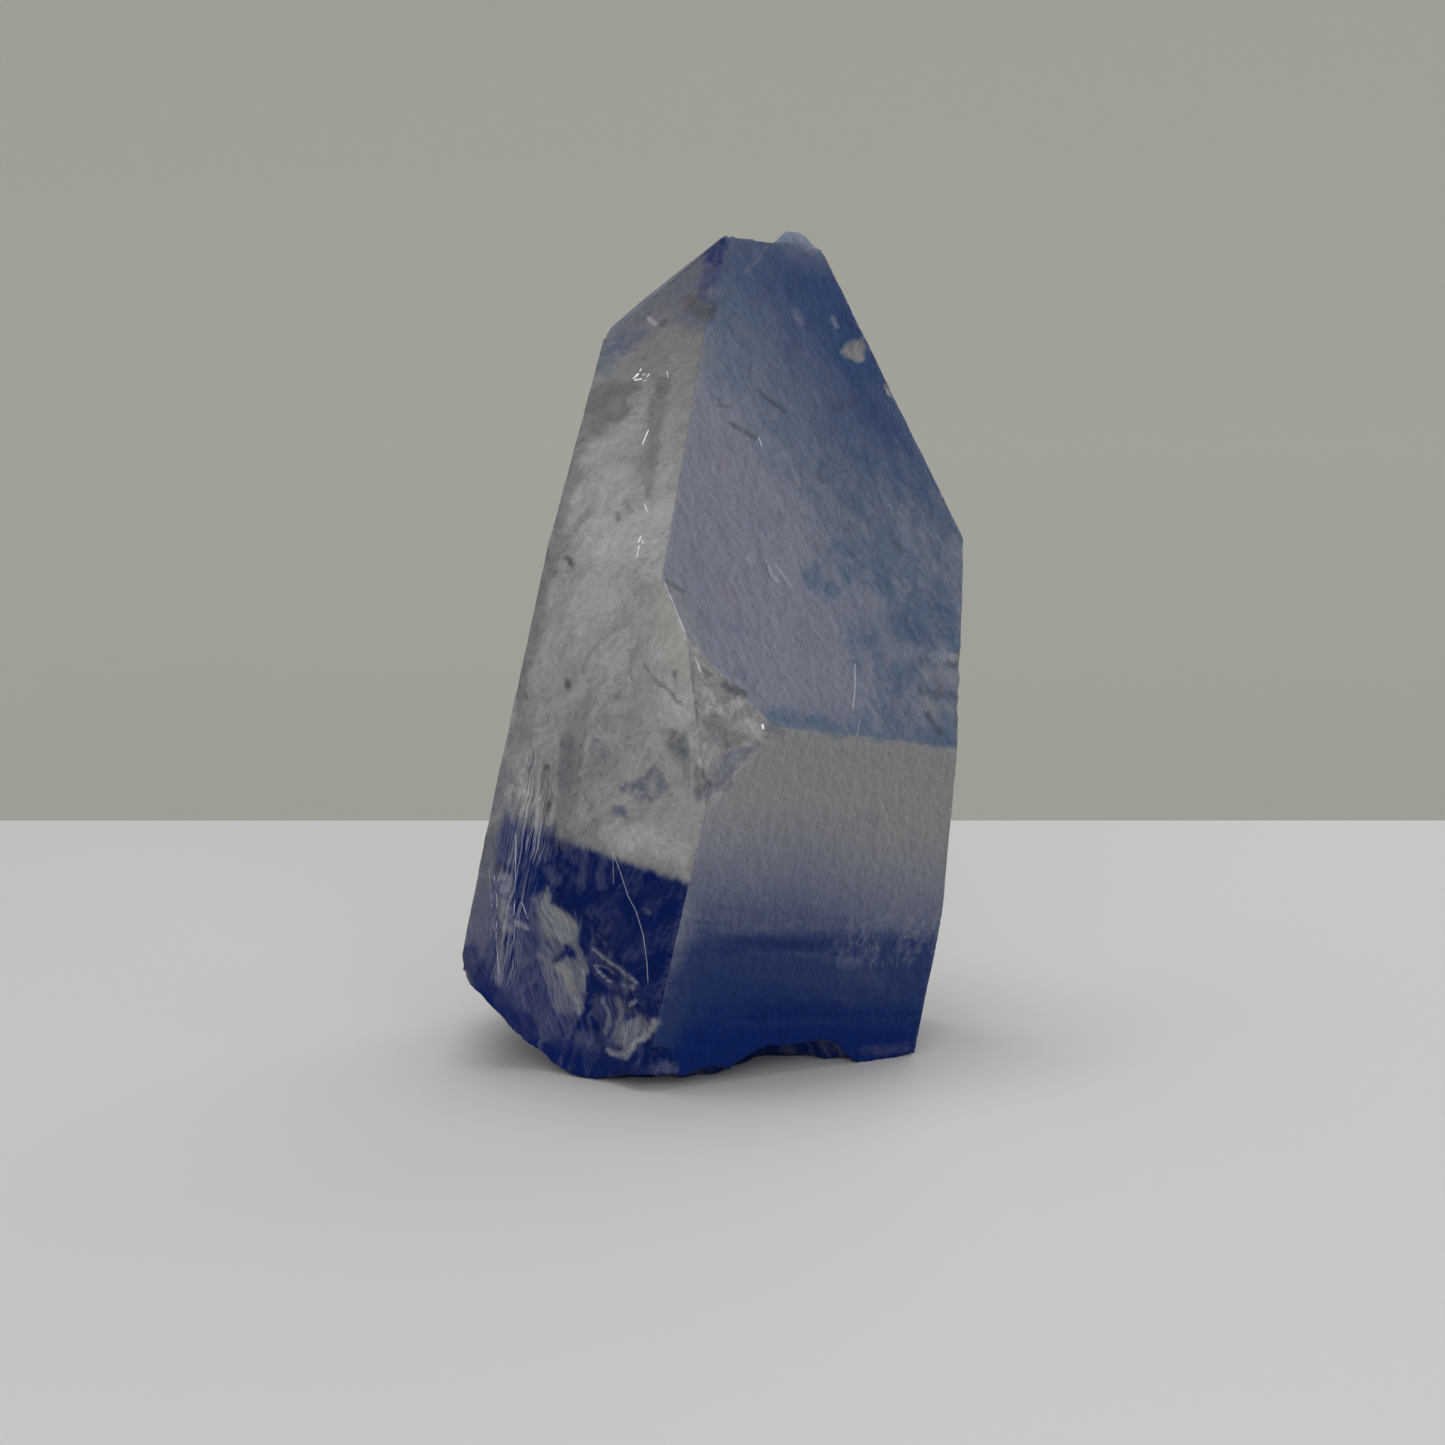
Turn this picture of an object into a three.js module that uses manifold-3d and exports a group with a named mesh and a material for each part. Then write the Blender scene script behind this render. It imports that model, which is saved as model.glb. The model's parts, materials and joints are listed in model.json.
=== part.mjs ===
// A single quartz crystal coloured blue by dumortierite: a six-sided prism that tapers upwards
// under a point of six sloping faces, one of them much broader than the rest.
// It leans a little as it stands on its broken root, one natural solid in one piece.
// Millimetres, +Z up. The origin is on the ground, under the middle of the crystal's box.

import * as THREE from 'three';
import { mergeVertices } from 'three/addons/utils/BufferGeometryUtils.js';
import Module from 'manifold-3d';

const wasm = await Module();
wasm.setup();

// ---- How the crystal stands: degrees, and the height of the point its faces are measured from.

const LEAN_RIGHT = 11.2;
const LEAN_FORWARD = 3.4;
const SPIN = 32.4;
const CENTRE = new THREE.Vector3(0, 0, 12);

// ---- Natural faces. Azimuth turns about the long axis from the front-right prism face, positive
// to the right. Tilt is the angle between the long axis and the face's normal: 90 for an upright
// prism face, 51.8 for a point face of quartz. Reach is the distance from the centre, in mm.

const POINT_TILT = 51.8;

const FACES = {
  frontPrism: { azimuth: -1.1, tilt: 90.1, reach: 7.6 },
  frontLeftPrism: { azimuth: -60.7, tilt: 88.6, reach: 7.83 },
  leftPrism: { azimuth: -124.6, tilt: 88.6, reach: 7.5 },
  leftPrismFoot: { azimuth: -120.5, tilt: 89.8, reach: 7.95 },
  backPrism: { azimuth: 180, tilt: 89.2, reach: 7.65 },
  backRightPrism: { azimuth: 120, tilt: 89, reach: 8 },
  rightPrism: { azimuth: 57.6, tilt: 82.8, reach: 9.16 },
  rightPrismFoot: { azimuth: 61, tilt: 89.2, reach: 9.55 },
  broadPoint: { azimuth: 0.3, tilt: POINT_TILT + 0.9, reach: 7.4 },
  frontLeftPoint: { azimuth: -60.1, tilt: POINT_TILT + 0.3, reach: 10.2 },
  leftPoint: { azimuth: -120.3, tilt: POINT_TILT - 1.3, reach: 14.4 },
  backPoint: { azimuth: 181.3, tilt: POINT_TILT, reach: 15.58 },
  backRightPoint: { azimuth: 120, tilt: POINT_TILT, reach: 16.3 },
  rightPoint: { azimuth: 59.3, tilt: POINT_TILT + 0.7, reach: 12.02 },
};

// The small knob that stands on the crest, grown parallel to the point: the faces that bound it.
const KNOB_SETBACK = 0.03;
const KNOB_FACES = {
  ...FACES,
  broadPoint: { ...FACES.broadPoint, reach: FACES.broadPoint.reach - KNOB_SETBACK },
  backPoint: { ...FACES.backPoint, reach: 16.25 },
  left: { azimuth: -138.2, tilt: 69.2, reach: 9.26 },
  shoulder: { azimuth: 72.3, tilt: 32.7, reach: 16.89 },
  back: { azimuth: FACES.backPoint.azimuth, tilt: 75, reach: 10.6 },
  foot: { azimuth: FACES.broadPoint.azimuth, tilt: FACES.broadPoint.tilt + 90, reach: -16.9 },
};

// The corner where the broad point face meets the two front prism faces was eaten away by
// solution: it is a bevel with a pitted surface.
const ETCHED_CORNER = { azimuth: -21.2, tilt: 75.6, reach: 8.28 };
const ETCH_PATCH = { up: 4, size: 14, cell: 0.45 };
const ETCH_PIT = { depth: 0.16, spacing: 0.55 };

// ---- Shell-shaped breaks. Each is placed on a face, across it and up it from the foot of the
// face's normal, with its half width, half length and depth. Turn rotates it on the face, rings
// and flutes are the ripples that a break leaves in quartz.

const BREAKS = [
  // The long flake off the left edge, and the wide shell under it at the lower left.
  { face: 'frontLeftPrism', across: -2.6, up: -5.4, wide: 1.5, long: 4.7, deep: 0.35, turn: 8, fine: 9 },
  { face: 'frontLeftPrism', across: -0.1, up: -10.7, wide: 3.7, long: 4.7, deep: 1.25, turn: 20, fine: 13 },
  { face: 'frontLeftPrism', across: 2.6, up: -10, wide: 1.5, long: 1.4, deep: 0.8, turn: -30, fine: 6 },
  // Chips along the edge between the broad point face and the right prism face.
  { face: 'broadPoint', across: 6.85, up: 0.75, wide: 0.35, long: 0.5, deep: 0.25, turn: 0, fine: 3 },
  { face: 'broadPoint', across: 6.85, up: -0.35, wide: 0.3, long: 0.6, deep: 0.25, turn: 0, fine: 3 },
  { face: 'broadPoint', across: 5.95, up: 12.1, wide: 0.3, long: 0.5, deep: 0.2, turn: 20, fine: 3 },
  // A chip off the foot of the edge between the two front prism faces.
  { face: 'frontPrism', across: -4.6, up: -10.9, wide: 1.1, long: 1, deep: 0.45, turn: 0, fine: 5 },
  // Shells off the foot of the back, where the crystal parted from its neighbours.
  { face: 'backPrism', across: 1.4, up: -10.6, wide: 3, long: 3.4, deep: 0.7, turn: 24, fine: 9 },
  { face: 'backRightPrism', across: 1.8, up: -11.4, wide: 2, long: 2.6, deep: 0.5, turn: -18, fine: 7 },
];
const BREAK_LIFT = 0.7;
const RING_COUNT = 16;
const RING_HEIGHT = 0.012;
const FLUTE_COUNT = 26;
const FLUTE_HEIGHT = 0.01;

// ---- The broken root. It rests on level ground on a few flats, with scoops broken out between
// them: place and radius of each scoop, and how high its middle stands above the ground.

const ROOT_SCOOPS = [
  { x: 3.1, y: -5.5, radius: 2.7, height: 1.15 },
  { x: 0.3, y: -7.6, radius: 2.1, height: 0.65 },
  { x: -2.5, y: -8.7, radius: 3, height: 0.55 },
  { x: 8.8, y: -2.6, radius: 1.3, height: 0.5 },
  { x: -2.2, y: -1.9, radius: 2.1, height: 0.45 },
  { x: 2.4, y: 0.9, radius: 2.7, height: 0.7 },
  { x: 8.2, y: 1.2, radius: 2.6, height: 0.9 },
  { x: 5.6, y: 7.6, radius: 2.8, height: 1.1 },
  { x: -0.6, y: 9.2, radius: 2.9, height: 0.8 },
  { x: -5.2, y: 4.6, radius: 2.2, height: 0.55 },
];
const SCOOP_STEEPNESS = 4;
const SCOOP_WARP = 0.45;
const ROOT_SIZE = 30;
const ROOT_CELL = 0.6;
const ROOT_ROUGHNESS = 0.12;
const ROOT_ROUGH_SCALE = 1.6;
const ROOT_ROUGH_ABOVE = 0.5;

// The left of the root broke off upwards, in a curve that starts at this hinge line.
const OBLIQUE_START = -4.2;
const OBLIQUE_SWING = 0.12;
const OBLIQUE_RISE = 0.28;
const OBLIQUE_CURVE = 1.65;

// The block that the crystal is cut from, and how far it reaches below the ground.
const BLOCK = 60;
const ROOT_SPARE = 5;
const CUTTER = 4 * BLOCK;

// ---- Directions and places in the leaning crystal.

/** The turn from the crystal's own upright axes to its standing pose. */
const stand = new THREE.Matrix4()
  .makeRotationY(THREE.MathUtils.degToRad(LEAN_RIGHT))
  .multiply(new THREE.Matrix4().makeRotationX(THREE.MathUtils.degToRad(LEAN_FORWARD)))
  .multiply(new THREE.Matrix4().makeRotationZ(THREE.MathUtils.degToRad(SPIN)));

const longAxis = new THREE.Vector3(0, 0, 1).transformDirection(stand);

/** The outward normal of a face in the standing pose. */
function normalOf({ azimuth, tilt }) {
  const around = THREE.MathUtils.degToRad(azimuth);
  const down = THREE.MathUtils.degToRad(tilt);
  return new THREE.Vector3(
    Math.sin(around) * Math.sin(down),
    -Math.cos(around) * Math.sin(down),
    Math.cos(down),
  ).transformDirection(stand);
}

/** A frame on a face: X across it, Y up it, Z out of it, at a place on its plane. */
function placeOn(face, across = 0, up = 0, out = 0) {
  const outward = normalOf(face);
  const upward = longAxis.clone().addScaledVector(outward, -longAxis.dot(outward)).normalize();
  const sideways = upward.clone().cross(outward);
  const place = CENTRE.clone()
    .addScaledVector(outward, face.reach + out)
    .addScaledVector(sideways, across)
    .addScaledVector(upward, up);
  return new THREE.Matrix4().makeBasis(sideways, upward, outward).setPosition(place);
}

// ---- Solids.

/** A closed solid from a three.js geometry. */
function solidFrom(geometry) {
  const bare = geometry.clone();
  bare.deleteAttribute('normal');
  bare.deleteAttribute('uv');
  const merged = mergeVertices(bare);
  return new wasm.Manifold(new wasm.Mesh({
    numProp: 3,
    vertProperties: new Float32Array(merged.attributes.position.array),
    triVerts: new Uint32Array(merged.index.array),
  }));
}

/** A three.js geometry from a closed solid. */
function geometryFrom(solid) {
  const mesh = solid.getMesh();
  const geometry = new THREE.BufferGeometry();
  geometry.setAttribute('position', new THREE.BufferAttribute(mesh.vertProperties, 3));
  geometry.setIndex(new THREE.BufferAttribute(mesh.triVerts, 1));
  geometry.computeVertexNormals();
  return geometry;
}

/** Moves every vertex of a geometry by a function that changes it in place. */
function reshape(geometry, move) {
  const places = geometry.attributes.position;
  const vertex = new THREE.Vector3();
  for (let i = 0; i < places.count; i += 1) {
    vertex.fromBufferAttribute(places, i);
    move(vertex);
    places.setXYZ(i, vertex.x, vertex.y, vertex.z);
  }
  return geometry;
}

/** A smooth, repeatable unevenness between -1 and 1 over a plane, from crossing waves. */
function unevenness(x, y) {
  const longWaves = Math.sin(1.3 * x + 0.7 * y + 0.4) * Math.cos(0.9 * y - 0.6 * x);
  const shortWaves = Math.sin(2.9 * x - 1.7 * y + 1.1) * Math.cos(3.1 * y + 1.3 * x);
  return 0.6 * longWaves + 0.4 * shortWaves;
}

/** Everything outside one flat face. */
function outside(face) {
  const cutter = new THREE.BoxGeometry(CUTTER, CUTTER, CUTTER);
  return solidFrom(cutter.applyMatrix4(placeOn(face, 0, 0, CUTTER / 2)));
}

/** Everything outside the etched corner, with the pits of its surface. */
function outsideEtchedCorner() {
  const { up, size, cell } = ETCH_PATCH;
  const cells = Math.round(size / cell);
  const block = new THREE.BoxGeometry(size, size, size, cells, cells, 1);
  reshape(block, (vertex) => {
    const onFarSide = vertex.z > 0;
    if (onFarSide) return;
    vertex.z += ETCH_PIT.depth * unevenness(vertex.x / ETCH_PIT.spacing, vertex.y / ETCH_PIT.spacing);
  });
  return solidFrom(block.applyMatrix4(placeOn(ETCHED_CORNER, 0, up, size / 2)));
}

/** The lens that a shell-shaped break takes away, rippled in rings and flutes. */
function brokenOut({ face, across, up, wide, long, deep, turn, fine }) {
  const spread = 1 / Math.sqrt(1 - BREAK_LIFT ** 2);
  const thick = deep / (1 - BREAK_LIFT);
  const lens = new THREE.IcosahedronGeometry(1, fine);
  reshape(lens, (vertex) => {
    const fromTop = Math.acos(THREE.MathUtils.clamp(vertex.y, -1, 1));
    const around = Math.atan2(vertex.x, vertex.z);
    const rings = RING_HEIGHT * Math.sin(RING_COUNT * fromTop);
    const flutes = FLUTE_HEIGHT * Math.sin(FLUTE_COUNT * around) * Math.sin(fromTop);
    vertex.multiplyScalar(1 + rings + flutes);
  });
  lens.scale(wide * spread, long * spread, thick);
  lens.rotateZ(THREE.MathUtils.degToRad(turn));
  return solidFrom(lens.applyMatrix4(placeOn(FACES[face], across, up, thick * BREAK_LIFT)));
}

/** Height of the broken root above the ground. */
function rootHeight(x, y) {
  const beyond = Math.max(0, OBLIQUE_START - x + OBLIQUE_SWING * y);
  let height = OBLIQUE_RISE * beyond ** OBLIQUE_CURVE;
  const warp = SCOOP_WARP * unevenness(x, y);
  for (const scoop of ROOT_SCOOPS) {
    const share = (Math.hypot(x - scoop.x, y - scoop.y) + warp) / scoop.radius;
    height = Math.max(height, scoop.height * (1 - Math.max(0, share) ** SCOOP_STEEPNESS));
  }
  const rough = ROOT_ROUGHNESS * unevenness(ROOT_ROUGH_SCALE * x, ROOT_ROUGH_SCALE * y);
  const roughness = rough * Math.min(1, height / ROOT_ROUGH_ABOVE);
  return Math.max(0, height + roughness);
}

/** Everything under the broken root. */
function underRoot() {
  const cells = Math.round(ROOT_SIZE / ROOT_CELL);
  const block = new THREE.BoxGeometry(ROOT_SIZE, ROOT_SIZE, ROOT_SIZE, cells, cells, 1);
  block.translate(0, 0, -ROOT_SIZE / 2);
  reshape(block, (vertex) => {
    const onFarSide = vertex.z < -ROOT_SIZE / 2;
    if (onFarSide) return;
    vertex.z = rootHeight(vertex.x, vertex.y);
  });
  return solidFrom(block);
}

// ---- The crystal.

/** What is left of a block inside a set of flat faces. */
function inside(faces) {
  const block = new THREE.BoxGeometry(BLOCK, BLOCK, BLOCK);
  let solid = solidFrom(block.translate(0, 0, BLOCK / 2 - ROOT_SPARE));
  for (const face of Object.values(faces)) solid = solid.subtract(outside(face));
  return solid;
}

/** The whole crystal with its knob, cut face by face and then broken as it is. */
function crystalSolid() {
  let solid = inside(FACES).add(inside(KNOB_FACES));
  solid = solid.subtract(outsideEtchedCorner());
  for (const shell of BREAKS) solid = solid.subtract(brokenOut(shell));
  return solid.subtract(underRoot());
}

/** Centres a geometry's box on the Z axis and stands it on the ground. */
function standAtOrigin(geometry) {
  geometry.computeBoundingBox();
  const middle = geometry.boundingBox.getCenter(new THREE.Vector3());
  return geometry.translate(-middle.x, -middle.y, -geometry.boundingBox.min.z);
}

const dumortieriteQuartz = new THREE.MeshStandardMaterial({
  color: 0x66708c,
  roughness: 0.35,
  metalness: 0,
});

const crystal = new THREE.Mesh(standAtOrigin(geometryFrom(crystalSolid())), dumortieriteQuartz);
crystal.name = 'crystal';

const object = new THREE.Group();
object.add(crystal);

export default object;
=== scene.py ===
"""One point of quartz, coloured blue by dumortierite, on a pale floor against a plain wall.

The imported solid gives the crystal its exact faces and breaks. Here it gets a fine mesh with the
relief of its natural faces, the fibres and ripples of its breaks and its worn edges, and the
quartz itself: clear and hazy at the left, frosted and lavender on the broad face, deep blue at
the root. Work on the mesh is done in millimetres, and the finished piece is in metres.
"""

import json
import logging
import math
from dataclasses import dataclass, field
from enum import Enum
from typing import Any, Union

import bmesh
import bpy
import numpy as np
from mathutils import Matrix, Vector
from mathutils.bvhtree import BVHTree

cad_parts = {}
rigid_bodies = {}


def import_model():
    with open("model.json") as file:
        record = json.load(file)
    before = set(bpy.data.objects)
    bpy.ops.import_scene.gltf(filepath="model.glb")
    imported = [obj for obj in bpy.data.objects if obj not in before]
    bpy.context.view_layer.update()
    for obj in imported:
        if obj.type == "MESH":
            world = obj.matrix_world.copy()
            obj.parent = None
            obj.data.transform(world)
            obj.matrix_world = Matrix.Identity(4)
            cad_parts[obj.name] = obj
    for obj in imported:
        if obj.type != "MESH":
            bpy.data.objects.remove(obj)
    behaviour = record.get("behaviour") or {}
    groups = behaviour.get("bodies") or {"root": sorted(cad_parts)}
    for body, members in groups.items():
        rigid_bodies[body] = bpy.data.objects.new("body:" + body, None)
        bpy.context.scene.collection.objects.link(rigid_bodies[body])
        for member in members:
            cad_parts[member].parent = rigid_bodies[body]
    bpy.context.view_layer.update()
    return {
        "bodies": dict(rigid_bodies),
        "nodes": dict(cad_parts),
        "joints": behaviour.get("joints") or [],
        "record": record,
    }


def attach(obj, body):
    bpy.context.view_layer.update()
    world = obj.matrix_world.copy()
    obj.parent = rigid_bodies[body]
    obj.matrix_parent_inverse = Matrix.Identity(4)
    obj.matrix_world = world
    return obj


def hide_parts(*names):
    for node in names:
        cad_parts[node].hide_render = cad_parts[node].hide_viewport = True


LOG = logging.getLogger("crystal")
MM = 0.001
SAME_PLACE = 1e-7

Colour = tuple[float, float, float]


def paint(red: int, green: int, blue: int) -> Colour:
    """Makes a colour for a shader.

    Args:
        red: its red on a screen, between 0 and 255.
        green: its green.
        blue: its blue.

    Returns:
        The colour as light.
    """

    def linear(value: int) -> float:
        """One channel, from screen value to light."""
        share = value / 255
        return share / 12.92 if share <= 0.04045 else ((share + 0.055) / 1.055) ** 2.4

    return linear(red), linear(green), linear(blue)


# ---- The crystal's own directions.


class Face(Enum):
    """The natural faces: azimuth and tilt in degrees, and reach in millimetres, as the solid has."""

    FRONT_PRISM = (-1.1, 90.1, 7.6)
    FRONT_LEFT_PRISM = (-60.7, 88.6, 7.83)
    LEFT_PRISM = (-124.6, 88.6, 7.5)
    LEFT_PRISM_FOOT = (-120.5, 89.8, 7.95)
    BACK_PRISM = (180.0, 89.2, 7.65)
    BACK_RIGHT_PRISM = (120.0, 89.0, 8.0)
    RIGHT_PRISM = (57.6, 82.8, 9.16)
    RIGHT_PRISM_FOOT = (61.0, 89.2, 9.55)
    BROAD_POINT = (0.3, 52.7, 7.4)
    FRONT_LEFT_POINT = (-60.1, 52.1, 10.2)
    LEFT_POINT = (-120.3, 50.5, 14.4)
    BACK_POINT = (181.3, 51.8, 15.58)
    BACK_RIGHT_POINT = (120.0, 51.8, 16.3)
    RIGHT_POINT = (59.3, 52.5, 12.02)
    ETCHED_CORNER = (-21.2, 75.6, 8.28)

    @property
    def row(self) -> int:
        """Where the face comes in their order."""
        return list(Face).index(self)


PRISM_FACES = (
    Face.FRONT_PRISM,
    Face.FRONT_LEFT_PRISM,
    Face.LEFT_PRISM,
    Face.LEFT_PRISM_FOOT,
    Face.BACK_PRISM,
    Face.BACK_RIGHT_PRISM,
    Face.RIGHT_PRISM,
    Face.RIGHT_PRISM_FOOT,
)


@dataclass(frozen=True)
class FaceFrame:
    """Directions on a natural face, and the foot of its normal, in millimetres."""

    across: Vector
    up: Vector
    out: Vector
    foot: Vector


@dataclass(frozen=True)
class Stance:
    """How the crystal stands: how it leans and turns, and the point its faces are measured from."""

    lean_right: float = 11.2
    lean_forward: float = 3.4
    spin: float = 32.4
    centre: tuple[float, float, float] = (-0.0653, -0.5603, 12.0003)

    def turn(self) -> Matrix:
        """The turn from the crystal's own upright axes to its standing pose."""
        return (
            Matrix.Rotation(math.radians(self.lean_right), 3, "Y")
            @ Matrix.Rotation(math.radians(self.lean_forward), 3, "X")
            @ Matrix.Rotation(math.radians(self.spin), 3, "Z")
        )

    def long_axis(self) -> Vector:
        """The direction in which the crystal grew."""
        return self.turn() @ Vector((0.0, 0.0, 1.0))

    def frame(self, face: Face) -> FaceFrame:
        """The directions and the foot of a natural face.

        Args:
            face: the natural face.

        Returns:
            Its directions and foot, in the part's frame.
        """
        azimuth, tilt, reach = face.value
        around, down = math.radians(azimuth), math.radians(tilt)
        out = self.turn() @ Vector(
            (math.sin(around) * math.sin(down), -math.cos(around) * math.sin(down), math.cos(down))
        )
        axis = self.long_axis()
        up = (axis - out * axis.dot(out)).normalized()
        return FaceFrame(up.cross(out), up, out, Vector(self.centre) + out * reach)


# ---- Noise and curves over arrays of places.


@dataclass(frozen=True)
class Grain:
    """Smooth, repeatable noise in space, between about -1 and 1."""

    seed: int
    entries: int = 512
    shift: float = 17.3
    gain: float = 1.35

    def __call__(self, places: np.ndarray, size: float, octaves: int = 1) -> np.ndarray:
        """Noise at each place.

        Args:
            places: an array of places, one to a row.
            size: the width of its largest lumps.
            octaves: how many finer layers it has.

        Returns:
            One value for each place.
        """
        total, value = 0.0, np.zeros(len(places))
        for octave in range(octaves):
            share = 0.5**octave
            value += share * self._layer(places / size * 2**octave + self.shift * octave)
            total += share
        return value / total * self.gain

    def share(self, places: np.ndarray, size: float, octaves: int = 1) -> np.ndarray:
        """The same noise, between about 0 and 1."""
        return 0.5 + 0.5 * self(places, size, octaves)

    def _layer(self, places: np.ndarray) -> np.ndarray:
        """Makes one layer of noise, with lumps one unit wide.

        Args:
            places: an array of places, one to a row.

        Returns:
            One value for each place.
        """
        table = np.random.RandomState(self.seed).permutation(self.entries)
        worth = np.random.RandomState(self.seed + 1).uniform(-1, 1, self.entries)
        cell = np.floor(places).astype(np.int64)
        inside = places - cell
        inside = inside * inside * (3 - 2 * inside)
        value = np.zeros(len(places))
        for corner in range(8):
            step = np.array([corner & 1, corner >> 1 & 1, corner >> 2 & 1])
            x, y, z = ((cell + step) % self.entries).T
            pick = worth[table[(table[(table[x] + y) % self.entries] + z) % self.entries]]
            value += pick * np.prod(np.where(step == 1, inside, 1 - inside), axis=1)
        return value


def ease(value: np.ndarray, start: float, end: float) -> np.ndarray:
    """A smooth rise from 0 at start to 1 at end."""
    share = np.clip((value - start) / (end - start), 0, 1)
    return share * share * (3 - 2 * share)


# ---- Shader maths.


class Value:
    """A shader's socket, with maths written as Python expressions."""

    def __init__(self, tree: "ShaderTree", socket: bpy.types.NodeSocket) -> None:
        """Wraps a socket of a tree."""
        self.tree = tree
        self.socket = socket

    def __add__(self, other: "Number") -> "Value":
        """The sum."""
        return self.tree.maths("ADD", self, other)

    def __radd__(self, other: "Number") -> "Value":
        """The sum."""
        return self.tree.maths("ADD", other, self)

    def __sub__(self, other: "Number") -> "Value":
        """The difference."""
        return self.tree.maths("SUBTRACT", self, other)

    def __rsub__(self, other: "Number") -> "Value":
        """The difference from a number."""
        return self.tree.maths("SUBTRACT", other, self)

    def __mul__(self, other: "Number") -> "Value":
        """The product."""
        return self.tree.maths("MULTIPLY", self, other)

    def __rmul__(self, other: "Number") -> "Value":
        """The product."""
        return self.tree.maths("MULTIPLY", other, self)


Number = Union[Value, float]


class ShaderTree:
    """The nodes of one material."""

    def __init__(self, name: str) -> None:
        """Makes a material with an empty tree.

        Args:
            name: the material's name.
        """
        self.material = bpy.data.materials.new(name)
        self.material.use_nodes = True
        self.tree = self.material.node_tree
        self.tree.nodes.clear()

    def node(
        self, kind: str, settings: dict[str, Any] | None = None, inputs: dict[Any, Any] | None = None
    ) -> bpy.types.Node:
        """Adds a node.

        Args:
            kind: the node's type.
            settings: its properties, which are set first.
            inputs: values or links for its sockets, by name or index.

        Returns:
            The node.
        """
        node = self.tree.nodes.new(kind)
        for name, value in (settings or {}).items():
            if name == "stops":
                self._set_stops(node, value)
            else:
                setattr(node, name, value)
        for name, value in (inputs or {}).items():
            socket = node.inputs[name]
            if isinstance(value, Value):
                self.tree.links.new(value.socket, socket)
            elif isinstance(value, bpy.types.NodeSocket):
                self.tree.links.new(value, socket)
            elif socket.type == "RGBA" and len(value) == 3:
                socket.default_value = (*value, 1.0)
            else:
                socket.default_value = value
        return node

    @staticmethod
    def _set_stops(node: bpy.types.Node, stops: list[tuple[float, Colour]]) -> None:
        """Puts the stops on a ramp.

        Args:
            node: the ramp's node.
            stops: the place and the colour of each stop.
        """
        ramp = node.color_ramp.elements
        while len(ramp) < len(stops):
            ramp.new(0.5)
        for element, (place, colour) in zip(ramp, stops):
            element.position = place
            element.color = (*colour, 1.0)

    def maths(self, operation: str, first: Number, second: Number = 0.0) -> Value:
        """A Math node on two values."""
        node = self.node("ShaderNodeMath", {"operation": operation}, {0: first, 1: second})
        return Value(self, node.outputs[0])

    def vector(self, operation: str, first: Any, second: Any = (0.0, 0.0, 0.0)) -> Value:
        """A Vector Math node with a vector result."""
        node = self.node("ShaderNodeVectorMath", {"operation": operation}, {0: first, 1: second})
        return Value(self, node.outputs["Vector"])

    def dot(self, first: Any, second: Any) -> Value:
        """The dot product of two vectors."""
        node = self.node("ShaderNodeVectorMath", {"operation": "DOT_PRODUCT"}, {0: first, 1: second})
        return Value(self, node.outputs["Value"])

    def scaled(self, vector: Any, scale: Number) -> Value:
        """A vector times a number."""
        node = self.node("ShaderNodeVectorMath", {"operation": "SCALE"}, {0: vector, "Scale": scale})
        return Value(self, node.outputs["Vector"])

    def combine(self, x: Number, y: Number, z: Number) -> Value:
        """A vector from three numbers."""
        node = self.node("ShaderNodeCombineXYZ", {}, {0: x, 1: y, 2: z})
        return Value(self, node.outputs[0])

    def rise(self, value: Number, start: float, end: float, low: float = 0.0, high: float = 1.0) -> Value:
        """A smooth change from one number to another.

        Args:
            value: what it follows.
            start: the value where it begins, which may be the greater of the two.
            end: the value where it ends.
            low: the number before the start.
            high: the number after the end.

        Returns:
            The number that it gives.
        """
        settings = {"interpolation_type": "SMOOTHSTEP"}
        inputs = {"Value": value, "From Min": start, "From Max": end, "To Min": low, "To Max": high}
        if start > end:
            inputs |= {"From Min": end, "From Max": start, "To Min": high, "To Max": low}
        return Value(self, self.node("ShaderNodeMapRange", settings, inputs).outputs["Result"])

    def bounded(self, value: Number, low: float = 0.0, high: float = 1.0) -> Value:
        """A value held between two limits."""
        node = self.node("ShaderNodeClamp", {}, {"Value": value, "Min": low, "Max": high})
        return Value(self, node.outputs[0])

    def noise(
        self,
        vector: Value,
        scale: float,
        detail: float = 2.0,
        roughness: float = 0.5,
        distortion: float = 0.0,
    ) -> Value:
        """Noise between 0 and 1.

        Args:
            vector: where it is read.
            scale: how many lumps it has to a unit of the vector.
            detail: how many finer layers it has.
            roughness: how strong the finer layers are.
            distortion: how far it is bent.

        Returns:
            The noise.
        """
        inputs = {
            "Vector": vector,
            "Scale": scale,
            "Detail": detail,
            "Roughness": roughness,
            "Distortion": distortion,
        }
        return Value(self, self.node("ShaderNodeTexNoise", {}, inputs).outputs[0])

    def drawn(
        self, x: Number, y: Number, z: float, detail: float, roughness: float, distortion: float = 0.0
    ) -> Value:
        """Noise read at three numbers, and so drawn out along any that is small."""
        return self.noise(self.combine(x, y, z), 1.0, detail, roughness, distortion)

    def cells(self, vector: Value, scale: float) -> Value:
        """The distance from the middle of a cell, in a pattern of cells."""
        node = self.node("ShaderNodeTexVoronoi", {}, {"Vector": vector, "Scale": scale})
        return Value(self, node.outputs["Distance"])

    def emboss(self, vector: Value, step: tuple[float, float, float], detail: float = 3.0) -> Value:
        """How much a noise falls along a short step, 0 where it is level, and so a painted shade as if lit
        from one side.
        """
        ahead = self.vector("ADD", vector, step)
        return self.noise(vector, 1.0, detail, 0.62) - self.noise(ahead, 1.0, detail, 0.62)

    def vein(self, value: Value, half_width: float) -> Value:
        """Thin lines where a noise passes its middle value."""
        return self.rise(self.maths("ABSOLUTE", value - 0.5), half_width, 0.0)

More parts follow.
